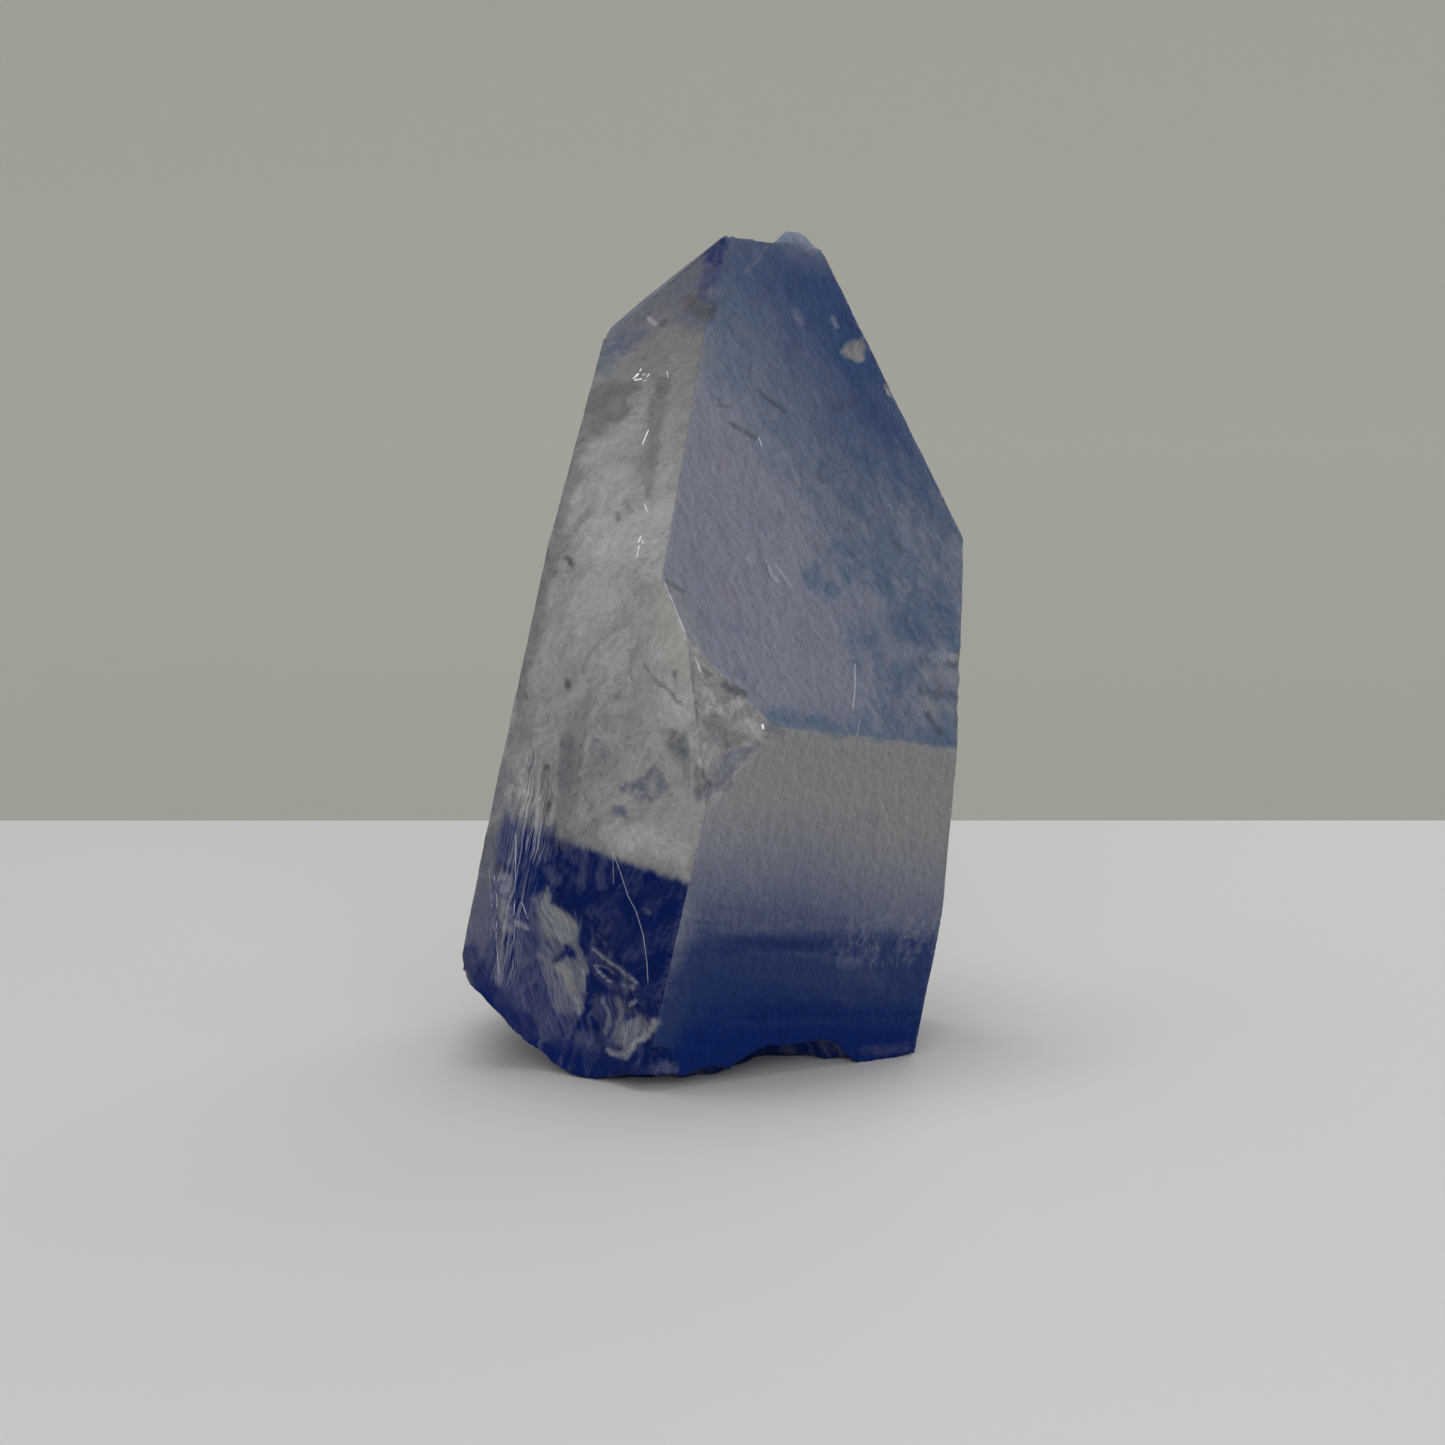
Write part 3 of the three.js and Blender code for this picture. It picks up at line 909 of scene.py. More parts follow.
# Thin bright lines: painted highlights where cracks and edges catch the light, and a few pale fibres in the
# break.
GLINTS = (
    Glint(((634, 378), (638, 374)), 0.035),
    Glint(((640, 371), (641, 369)), 0.02, 0.8),
    Glint(((635, 380), (641, 379)), 0.025),
    Glint(((643, 375), (645, 374)), 0.02, 0.7),
    Glint(((647, 377), (649, 374)), 0.02, 0.7),
    Glint(((643, 381), (646, 380)), 0.02, 0.6),
    Glint(((667, 372), (668, 377)), 0.015, 0.8),
    Glint(((642.5, 444), (645, 438), (648.5, 430)), 0.014, 0.9),
    Glint(((644.5, 504), (647, 511)), 0.01, 0.7),
    Glint(((641, 536), (638.5, 542)), 0.018, 0.7),
    Glint(((639, 546), (637, 556)), 0.012, 0.8),
    Glint(((642, 540), (643, 543)), 0.01, 0.6),
    Glint(((759, 438), (762, 446)), 0.01, 0.6),
    Glint(((855, 664), (855, 690), (853, 708)), 0.006, 0.5),
    Glint(((860, 720), (857, 736)), 0.006, 0.3),
    Glint(((762.5, 725), (763, 728)), 0.03),
    Glint(
        ((612.6, 851.6), (620, 871), (628, 896), (636, 911), (643, 934), (647, 963), (648, 982)),
        0.003, 0.36,
    ),
    Glint(((613, 858), (613.5, 884)), 0.003, 0.22),
    Glint(((516, 834), (515.5, 868), (514, 915)), 0.006, 0.45),
    Glint(((522, 903), (528, 918)), 0.01, 0.5),
    Glint(((494, 876), (497, 900), (496, 936), (499, 974)), 0.006, 0.4),
    Glint(((489, 868), (491, 896), (494, 930)), 0.004, 0.25),
    Glint(((664, 582), (684, 630), (701, 672)), 0.008, 0.5),
)


@dataclass(frozen=True)
class Texture:
    """The place that is shaded, in millimetres, and the noises that the quartz reads there."""

    place: Value
    cloud: Value
    lumps: Value
    fine: Value
    grain: Value


# A colour and a body. The body says how solid the quartz looks: 0 is clear and 1 is solid.
Layer = tuple[Value, Value]


@dataclass(frozen=True)
class DumortieriteQuartz:
    """Quartz that is clear, hazy, frosted or blue from place to place.

    Lengths are in millimetres. Each blue top, and the top of the strands, is where they begin and
    where they are full, up the crystal from its middle.
    """

    stance: Stance = field(default_factory=Stance)
    glints: tuple[tuple[Glint, tuple[Vector, ...]], ...] = ()
    refraction: float = 1.544
    clear_tint: Colour = (0.9, 0.91, 0.92)
    clear_roughness: float = 0.16
    least_roughness: float = 0.38
    most_roughness: float = 0.6
    sheen: float = 0.06
    relief_height: float = 0.035
    relief_strength: float = 0.5
    most_wear_and_highlight: float = 0.05
    glint_edge: float = 0.02
    knob_sheen_lightness: float = 1.5
    painted_point_shade: float = 0.14
    blue_top: tuple[float, float] = (-3.5, -4.0)
    blue_top_on_break: tuple[float, float] = (-2.6, -3.9)
    blue_top_in_relief: tuple[float, float] = (-3.2, -4.2)
    blue_top_behind: tuple[float, float] = (-4.2, -8.4)
    strands_top: tuple[float, float] = (-3.8, -4.8)
    frost: Colour = paint(124, 125, 127)
    ash: Colour = paint(110, 112, 124)
    mauve_blue: Colour = paint(86, 92, 113)
    dusk: Colour = paint(64, 73, 101)
    blue: Colour = paint(36, 51, 91)
    deep_blue: Colour = paint(2, 24, 80)
    haze: Colour = paint(184, 184, 180)
    smoke: Colour = paint(86, 88, 92)
    lavender: Colour = paint(113, 116, 130)
    slate: Colour = paint(48, 66, 102)
    navy: Colour = paint(8, 31, 88)
    abyss: Colour = paint(0, 19, 72)
    pale: Colour = paint(170, 171, 172)
    shell: Colour = paint(143, 145, 145)
    rose: Colour = paint(118, 111, 121)
    teal_deep: Colour = paint(54, 78, 100)
    mist: Colour = paint(83, 94, 113)
    etched: Colour = paint(110, 111, 115)
    dark: Colour = paint(58, 60, 66)
    violet: Colour = paint(72, 76, 104)
    warm: Colour = paint(132, 131, 122)
    teal: Colour = paint(68, 90, 112)
    white: Colour = paint(240, 241, 241)

    def material(self) -> bpy.types.Material:
        """Makes the material.

        Returns:
            The material, which mixes clear quartz with solid quartz by the body of each place.
        """
        tree = ShaderTree("dumortierite_quartz")
        texture = self._texture(tree)
        faces = self._faces(tree, texture.place)
        clear_faces = tree.bounded(faces[Face.FRONT_LEFT_PRISM] + faces[Face.FRONT_LEFT_POINT])
        strands = self._strands(tree, texture)
        layer = self._layers(tree, texture, faces, clear_faces)
        colour, body = self._marks(tree, texture, strands, layer)
        surface = self._surface(tree, texture, faces, strands)
        # Painted shade: the colour is made lighter and darker as the relief noise would be lit from one
        # side, less on the clear faces.
        relief = tree.emboss(surface, (0.3, 0.12, 0.0))
        relief = relief + tree.emboss(tree.scaled(surface, 0.37), (0.2, 0.08, 0.0), 2.0)
        relief = relief * (0.7 - clear_faces * 0.36)
        fleck = tree.noise(texture.place, 13.0, 1.0)
        colour = tree.scaled(colour, 1.0 + relief + (texture.grain - 0.5) * 0.3 + (fleck - 0.5) * 0.3)
        # Pale along the edges: partly wear, partly a painted highlight where the edges catch the light.
        worn = tree.mask(Mask.EDGE) * tree.rise(texture.grain, 0.4, 0.6, 0.0, self.most_wear_and_highlight)
        colour = tree.blend(worn, colour, self.pale)
        # Painted highlights of the glints, laid over in white and made solid.
        glint = self._glint(tree, texture)
        colour = tree.blend(glint, colour, self.white)
        body = body + glint * (1.0 - body)
        rough = tree.rise(texture.grain, 0.3, 0.7, self.least_roughness, self.most_roughness)
        self._mix(tree, (colour, body), rough, self._bump(tree, surface))
        return tree.material

    def _texture(self, tree: ShaderTree) -> Texture:
        """Reads the shaded place and its noises.

        Args:
            tree: the material's nodes.

        Returns:
            The place and its noises.
        """
        coordinates = tree.node("ShaderNodeTexCoord")
        place = tree.scaled(Value(tree, coordinates.outputs["Object"]), 1 / MM)
        return Texture(
            place=place,
            cloud=tree.noise(place, 0.55, 4.0, 0.58),
            lumps=tree.noise(place, 1.3, 6.0, 0.72, 0.5),
            fine=tree.noise(place, 3.4, 5.0, 0.7),
            grain=tree.noise(place, 5.0, 3.0, 0.6),
        )

    def _layers(
        self, tree: ShaderTree, texture: Texture, faces: dict[Face, Value], clear_faces: Value
    ) -> Layer:
        """Lays the looks of the faces, the breaks and the knob over the look of the rest.

        Args:
            tree: the material's nodes.
            texture: the place and its noises.
            faces: a mask for each face that has its own look.
            clear_faces: a mask for the two clear faces together.

        Returns:
            The colour and the body.
        """
        colour, body = self._rest(tree, texture)
        broad = self._broad_face(tree, texture)
        # Painted shade: the upper clear face is made darker, so that it doesn't look lighter than the face
        # below it under the lamps.
        shaded = 1.0 - faces[Face.FRONT_LEFT_POINT] * self.painted_point_shade
        for share, layer in (
            (faces[Face.BROAD_POINT], broad),
            (faces[Face.FRONT_PRISM], self._front_prism(tree, texture)),
            (clear_faces, self._front_left(tree, texture, shaded)),
            (faces[Face.ETCHED_CORNER], self._etched(tree, texture)),
            (tree.mask(Mask.BROKEN), self._break(tree, texture)),
            # The knob: the broad face's colour made lighter, a painted sheen on the small bump.
            (tree.mask(Mask.KNOB), (tree.scaled(broad[0], self.knob_sheen_lightness), broad[1])),
        ):
            colour = tree.blend(share, colour, layer[0])
            body = body + share * (layer[1] - body)
        return colour, body

    def _mix(self, tree: ShaderTree, layer: Layer, rough: Value, bump: bpy.types.NodeSocket) -> None:
        """Mixes clear quartz with solid quartz, by the body of each place.

        Args:
            tree: the material's nodes.
            layer: the colour and the body.
            rough: the roughness of the solid quartz.
            bump: the normal of the finest relief.
        """
        colour, body = layer
        clear = tree.node(
            "ShaderNodeBsdfPrincipled",
            {},
            {
                "Base Color": self.clear_tint,
                "Roughness": self.clear_roughness,
                "IOR": self.refraction,
                "Transmission Weight": 1.0,
                "Normal": bump,
            },
        )
        solid = tree.node(
            "ShaderNodeBsdfPrincipled",
            {},
            {
                "Base Color": colour,
                "Roughness": rough,
                "IOR": self.refraction,
                "Specular IOR Level": self.sheen,
                "Normal": bump,
            },
        )
        share = tree.bounded(body)
        mixed = tree.node("ShaderNodeMixShader", {}, {0: share, 1: clear.outputs[0], 2: solid.outputs[0]})
        tree.node("ShaderNodeOutputMaterial", {}, {"Surface": mixed.outputs[0]})

    def _on(self, tree: ShaderTree, place: Value, face: Face) -> tuple[Value, Value]:
        """Measures where a place lies on a face.

        Args:
            tree: the material's nodes.
            place: the shaded place, in millimetres.
            face: the natural face.

        Returns:
            How far the place lies across the face and up it.
        """
        frame = self.stance.frame(face)
        across = tree.dot(place, tuple(frame.across)) - frame.foot.dot(frame.across)
        up = tree.dot(place, tuple(frame.up)) - frame.foot.dot(frame.up)
        return across, up

    def _faces(self, tree: ShaderTree, place: Value) -> dict[Face, Value]:
        """Finds which natural face each place lies on.

        Args:
            tree: the material's nodes.
            place: the shaded place, in millimetres.

        Returns:
            A crisp mask for each face that has its own look.
        """
        above = {}
        for face in Face:
            frame = self.stance.frame(face)
            above[face] = tree.dot(place, tuple(frame.out)) - frame.foot.dot(frame.out)
        highest = above[Face.FRONT_PRISM]
        for height in above.values():
            highest = tree.maths("MAXIMUM", highest, height)
        softness = {
            Face.BROAD_POINT: 0.02,
            Face.FRONT_PRISM: 0.12,
            Face.FRONT_LEFT_PRISM: 0.02,
            Face.FRONT_LEFT_POINT: 0.02,
            Face.ETCHED_CORNER: 0.05,
        }
        return {
            face: tree.rise(above[face] - highest, -soft - 0.01, -0.008)
            for face, soft in softness.items()
        }

    def _glint(self, tree: ShaderTree, texture: Texture) -> Value:
        """Draws the thin bright lines, a little broken along their length.

        Args:
            tree: the material's nodes.
            texture: the place and its noises.

        Returns:
            How strongly they show.
        """
        total: Number = 0.0
        for glint, points in self.glints:
            for start, end in zip(points[:-1], points[1:]):
                line = tree.line(texture.place, start, end, glint.half_width, self.glint_edge)
                total = tree.maths("MAXIMUM", total, line * glint.strength)
        return total * tree.rise(texture.fine, 0.3, 0.55, 0.35, 1.0)

    def _marks(self, tree: ShaderTree, texture: Texture, strands: Value, layer: Layer) -> Layer:
        """Lays the soft marks over the quartz.

        Args:
            tree: the material's nodes.
            texture: the place and its noises.
            strands: where the strands of the break are read.
            layer: the quartz's colour and body.

        Returns:
            The colour and the body with the marks.
        """
        colour, body = layer
        place, lumps, fine = texture.place, texture.lumps, texture.fine
        strand = tree.noise(strands, 2.4, 4.0, 0.7)
        across, up = self._on(tree, place, Face.FRONT_LEFT_PRISM)
        torn = lumps + tree.rise(up, *self.strands_top) * (strand - lumps)
        for tone, shade, solid, tear, source, start, end, least in (
            (Tone.TEAL, self.teal, 0.2, 0.7, lumps, 0.36, 0.6, 0.1),
            (Tone.VIOLET, self.violet, 0.6, 0.7, torn, 0.34, 0.62, 0.2),
            (Tone.BLUE, self.deep_blue, 0.9, 0.4, fine, 0.3, 0.6, 0.6),
            (Tone.WARM, self.warm, 0.8, 0.3, lumps, 0.3, 0.6, 0.4),
            (Tone.SHELL, self.shell, 0.8, 0.3, strand, 0.34, 0.64, 0.42),
            (Tone.DARK, self.dark, 0.3, 0.4, lumps, 0.25, 0.6, 0.55),
            (Tone.PALE, self.pale, 0.5, 0.4, fine, 0.32, 0.6, 0.4),
        ):
            laid = tree.mask(tone)
            broken = tree.rise(source, start, end, least, 1.0)
            share = laid * tree.rise(laid + (fine - 0.5) * tear, 0.0, 0.4) * broken
            colour = tree.blend(share, colour, shade)
            body = body + share * solid * (1.0 - body)
        fibrous = tree.mask(Tone.FIBRE)
        sway = texture.cloud
        fibre = tree.drawn(across * 4.6 + sway * 2.4, up * 0.1, 0.0, 1.0, 0.5)
        fibres = tree.vein(fibre, 0.05) + tree.vein(fibre - 0.16, 0.04) + tree.vein(fibre + 0.16, 0.04)
        fibres = fibres * fibrous
        colour = tree.blend(fibres * 0.5, colour, self.pale)
        shadow = tree.vein(fibre + 0.08, 0.05) * fibrous
        colour = tree.blend(shadow * 0.6, colour, self.dusk)
        ripples = tree.maths("SINE", (up + across * 0.25 + sway * 0.9) * 58.0) * tree.mask(Tone.RIPPLE)
        colour = tree.scaled(colour, 1.0 + ripples * tree.rise(lumps, 0.4, 0.6) * 0.14)
        return colour, body + fibres * 0.4

    def _surface(
        self, tree: ShaderTree, texture: Texture, faces: dict[Face, Value], strands: Value
    ) -> Value:
        """Finds where the fine relief is read, drawn out the way that each face is textured.

        Args:
            tree: the material's nodes.
            texture: the place and its noises.
            faces: a mask for each face that has its own look.
            strands: where the strands of the break are read.

        Returns:
            The place to read the relief at.
        """
        place, bent = texture.place, texture.cloud
        coordinates = tree.scaled(place, 4.0)
        across, up = self._on(tree, place, Face.BROAD_POINT)
        felt = tree.combine(across * 3.9 + up * 1.8 + bent * 1.6, across * 1.2 - up * 2.5 + bent * 1.2, 0.0)
        across, up = self._on(tree, place, Face.FRONT_PRISM)
        flecks = tree.combine(across * 5.4 + bent, up * 3.6, 5.0)
        across, up = self._on(tree, place, Face.FRONT_LEFT_PRISM)
        wisps = tree.combine(across * 3.4 - up * 1.4 + bent * 2.2, across * 1.0 + up * 2.2 + bent * 1.4, 9.0)
        blue = tree.rise(up, *self.blue_top_in_relief)
        wisps = tree.blend(blue, wisps, tree.scaled(strands, 1.7))
        for face, stretched in (
            (Face.BROAD_POINT, felt),
            (Face.FRONT_PRISM, flecks),
            (Face.FRONT_LEFT_PRISM, wisps),
            (Face.FRONT_LEFT_POINT, wisps),
        ):
            coordinates = tree.blend(faces[face], coordinates, stretched)
        return coordinates

    def _bump(self, tree: ShaderTree, surface: Value) -> bpy.types.NodeSocket:
        """Makes the finest relief.

        Args:
            tree: the material's nodes.
            surface: where the relief is read.

        Returns:
            The normal that it gives.
        """
        fine = tree.noise(surface, 1.0, 3.0, 0.64)
        coarse = tree.noise(tree.scaled(surface, 0.4), 1.0, 2.0, 0.6)
        depth = {"Strength": self.relief_strength, "Distance": self.relief_height * MM}
        return tree.node("ShaderNodeBump", {}, depth | {"Height": fine + coarse * 1.6}).outputs[0]

    def _strands(self, tree: ShaderTree, texture: Texture) -> Value:
        """Finds where the strands of the break are read: upright at the left, a fan at the right.

        Args:
            tree: the material's nodes.
            texture: the place and its noises.

        Returns:
            The place to read a noise at, so that it comes out as strands.
        """
        across, up = self._on(tree, texture.place, Face.FRONT_LEFT_PRISM)
        sway = (texture.cloud - 0.5) * 0.7
        upright = tree.combine((across * 0.87 + up * 0.49 + sway) * 4.4, up * 0.4, 0.0)
        beside, above = across - 2.6, up + 12.0
        turn = tree.maths("ARCTAN2", beside, above)
        reach = tree.maths("SQRT", beside * beside + above * above)
        opened = tree.combine((turn + sway * 0.25) * 9.0, reach * 0.55, 3.0)
        return tree.blend(tree.rise(across, 0.95, 1.25), upright, opened)

    def _rest(self, tree: ShaderTree, texture: Texture) -> Layer:
        """Makes the colour and body of the sides and back.

        Args:
            tree: the material's nodes.
            texture: the place and its noises.

        Returns:
            The colour and the body.
        """
        axis = self.stance.long_axis()
        height = tree.dot(texture.place, tuple(axis)) - Vector(self.stance.centre).dot(axis)
        cloud, lumps = texture.cloud, texture.lumps
        haze = tree.bounded((cloud - 0.5) * 1.5 + (lumps - 0.5) * 0.6 + 0.46)
        stops = [(0.1, self.smoke), (0.38, self.ash), (0.62, self.frost), (0.95, self.haze)]
        colour = tree.ramp(haze, stops)
        tinted = tree.rise(height + (cloud - 0.5) * 12.0 + (lumps - 0.5) * 6.0, 2.0, 13.0, 0.0, 0.85)
        tip = tree.blend(tree.rise(lumps, 0.4, 0.62), self.mist, self.mauve_blue)
        colour = tree.blend(tinted, colour, tip)
        blue = tree.rise(height + (cloud - 0.5) * 2.4 + (lumps - 0.5) * 1.6, *self.blue_top_behind)
        veils = tree.vein(cloud - 0.04, 0.012) + tree.vein(lumps, 0.008) * 0.5
        colour = tree.blend(veils * (1.0 - blue) * 0.35, colour, self.pale)
        stops = [(0.05, self.ash), (0.3, self.mauve_blue), (0.62, self.blue), (1.0, self.navy)]
        colour = tree.blend(tree.rise(blue, 0.0, 0.25), colour, tree.ramp(blue, stops))
        return colour, tree.bounded(0.62 + haze * 0.2 + tinted * 0.2 + blue * 0.4)

    def _broad_face(self, tree: ShaderTree, texture: Texture) -> Layer:
        """Makes the colour and body of the frosted broad face.

        Args:
            tree: the material's nodes.
            texture: the place and its noises.

        Returns:
            The colour and the body.
        """
        place = texture.place
        across, up = self._on(tree, place, Face.BROAD_POINT)
        beside, along = across * 0.9 + up * 0.43, across * 0.43 - up * 0.9
        cloud = tree.noise(place, 0.24, 5.0, 0.62)
        streak = tree.drawn(beside * 1.3, along * 0.45, 0.0, 5.0, 0.66, 0.5)
        patches = tree.drawn(beside * 0.7, along * 0.42, 2.0, 5.0, 0.7, 0.7)
        start = across - 1.5 + up * 0.35 + tree.maths("MAXIMUM", up - 8.0, 0.0) * 0.3
        limit = tree.rise(up, 4.0, 13.0, 0.28, 1.0)
        slate = tree.maths("MINIMUM", tree.maths("MAXIMUM", start * 0.115, 0.02), limit)
        slate = slate * tree.rise(up, 19.6, 16.4, 0.35, 1.0)
        patchy = tree.rise(start, -0.5, 2.5) * tree.rise(up, 11.0, 7.0)
        slate = slate + (cloud - 0.5) * 0.4 + (streak - 0.5) * (0.45 + 0.35 * patchy)
        slate = slate + (patches - 0.5) * patchy * 1.0
        foot = tree.rise(up, -1.0, -2.9) * tree.rise(across, -4.5, -2.0)
        slate = tree.bounded(slate + foot * 0.25)
        hue = texture.lumps
        colour = tree.ramp(slate, [(0.0, self.lavender), (0.5, self.mist), (1.0, self.slate)])
        colour = tree.blend(tree.rise(hue, 0.42, 0.64) * patchy * slate * 0.9, colour, self.teal_deep)
        colour = tree.blend(tree.rise(hue, 0.5, 0.34) * 0.35 * (1.0 - slate), colour, self.rose)
        return colour, 0.9 + 0.08 * cloud

    def _front_prism(self, tree: ShaderTree, texture: Texture) -> Layer:
        """Makes the colour and body of the front prism face, which turns blue towards its foot.

        Args:
            tree: the material's nodes.
            texture: the place and its noises.

        Returns:
            The colour and the body.
        """
        across, up = self._on(tree, texture.place, Face.FRONT_PRISM)
        lower = tree.rise(across, -0.5, 5.5, 0.0, 0.95) * tree.rise(up, -6.4, -5.3, 0.2, 1.0)
        margin = tree.rise(across + up * 0.12, -4.2, -5.6) * tree.rise(up, -3.0, -5.0) * 1.9
        cloud = texture.cloud
        streak = tree.drawn(across * 2.6, up * 0.4, 0.0, 4.0, 0.62)
        band = tree.drawn(across * 0.14, up * 1.5, 3.0, 3.0, 0.55)
        felt = tree.drawn(across * 7.0, up * 3.0, 0.0, 3.0, 0.6)
        grass = tree.drawn(across * 1.9 + cloud * 2.0, up * 0.9, 7.0, 5.0, 0.7, 0.9)
        rooted = tree.rise(across, 1.3, 3.2) * tree.rise(up, -3.6, -5.4) * tree.rise(up, -7.8, -6.0)
        depth = up + lower + margin + (cloud - 0.5) * 1.0 + (streak - 0.5) * 0.9
        depth = depth + (band - 0.5) * tree.rise(up, -4.0, -5.5, 0.0, 3.4)
        depth = depth + rooted * tree.rise(grass, 0.4, 0.66, -0.7, 1.1)
        share = tree.bounded((depth + (felt - 0.5) * 1.5) * -0.1)
        stops = [
            (0.02, self.frost),
            (0.2, self.ash),
            (0.4, self.mauve_blue),
            (0.5, self.dusk),
            (0.61, self.blue),
            (0.7, self.blue),
            (0.9, self.navy),
        ]
        return tree.ramp(share, stops), tree.rise(depth, 1.0, -5.0, 0.86, 1.0)

    def _front_left(self, tree: ShaderTree, texture: Texture, shaded: Value) -> Layer:
        """Makes the colour and body of the two clear faces at the left, with the blue at their foot.

        Args:
            tree: the material's nodes.
            texture: the place and its noises.
            shaded: how light each place is, a painted shade that darkens the upper clear face, which the
                lamps above light more than the face below it.

        Returns:
            The colour and the body.
        """
        across, up = self._on(tree, texture.place, Face.FRONT_LEFT_PRISM)
        bent = texture.cloud
        flow = tree.combine(across * 0.6 - up * 0.25 + bent * 2.4, up * 0.35 + bent * 1.2, 0.0)
        cloud = tree.noise(flow, 1.0, 5.0, 0.64)
        hair = tree.drawn(across * 5.6 - up * 2.2, up * 1.3 + across * 0.7, 0.0, 4.0, 0.7, 0.5)
        lumps = texture.lumps
        curl = tree.combine(across * 1.6 + bent * 2.6 + lumps * 1.4, up - across * 0.6 + bent * 2.0, 8.0)
        curls = tree.vein(tree.noise(curl, 1.0, 3.0, 0.6), 0.035) * tree.rise(lumps, 0.42, 0.6)
        wisp = tree.drawn(across * 0.7 - up * 0.35 + bent * 1.5, up * 0.25, 4.0, 4.0, 0.6, 0.8)
        light = tree.rise(up, 18.0, 6.5, 0.0, 1.0) * tree.rise(up, -1.5, 4.5, 0.68, 1.0)
        shade = light * (0.59 + cloud * 0.34) + (hair - 0.5) * 0.26
        shade = shade - tree.vein(wisp, 0.018) * 0.08 - curls * 0.25
        drip = tree.drawn(across * 3.0, up * 0.4, 0.0, 4.0, 0.6)
        fringe = tree.rise(across, -2.6, -4.4) * 0.9
        blue = tree.rise(up + fringe + (drip - 0.5) * (0.5 + fringe * 2.2), *self.blue_top)
        blue = blue * tree.rise(across, -4.0, -2.7, 0.62, 1.0)
        veil = tree.noise(flow, 1.6, 3.0, 0.6)
        smudge = tree.rise(veil + (hair - 0.5) * 0.5, 0.46, 0.74, 0.0, 0.4)
        deep = tree.blend(smudge, self.abyss, self.dusk)
        colour = tree.blend(tree.bounded(shade * shaded), self.smoke, self.haze)
        colour = tree.blend(blue, colour, deep)
        return colour, tree.rise(cloud, 0.3, 0.7, 0.5, 0.75) + blue * 0.6

    def _etched(self, tree: ShaderTree, texture: Texture) -> Layer:
        """Makes the colour and body of the etched corner.

        Args:
            tree: the material's nodes.
            texture: the place and its noises.

        Returns:
            The colour and the body.
        """
        pits = tree.cells(texture.place, 2.6)
        lumps = texture.lumps
        share = tree.rise(lumps, 0.42, 0.68, 0.0, 0.3) + tree.rise(pits, 0.5, 0.2, 0.0, 0.1)
        curls = tree.vein(texture.fine, 0.02)
        return tree.blend(share + curls * 0.3, self.etched, self.haze), 0.75 + 0.15 * lumps

    def _break(self, tree: ShaderTree, texture: Texture) -> Layer:
        """Makes the colour and body of the broken places.

        Args:
            tree: the material's nodes.
            texture: the place and its noises.

        Returns:
            The colour and the body.
        """
        across, up = self._on(tree, texture.place, Face.FRONT_LEFT_PRISM)
        bent = texture.cloud * 1.6
        fibres = tree.drawn((across + bent) * 2.8, (up - bent) * 0.7, 0.0, 5.0, 0.62)
        white = tree.rise(fibres, 0.46, 0.72)
        blue = tree.rise(up + bent * 0.4, *self.blue_top_on_break)
        clear = tree.blend(white, self.frost, self.haze)
        deep = tree.blend(white * 0.7, self.deep_blue, self.mauve_blue)
        return tree.blend(blue, clear, deep), tree.rise(fibres, 0.3, 0.7, 0.6, 0.75) + blue * 0.5


# ---- The crystal.


@dataclass(frozen=True)
class Lie:
    """How each vertex lies to the natural faces, in millimetres.

    It has the direction out of each face, how far each vertex stands above each face, the row of
    its nearest face and of the second one, how far it stands above the nearest one, and how far
    below the second one, which is its way to the edge between them.
    """

    outs: np.ndarray
    above: np.ndarray
    nearest: np.ndarray
    second: np.ndarray
    gap: np.ndarray
    edge: np.ndarray


@dataclass(frozen=True)
class Ground:
    """What each vertex lies on: 1 on the broad face, a prism face, the etched corner or a break."""

    broad: np.ndarray
    prism: np.ndarray
    etched: np.ndarray
    broken: np.ndarray


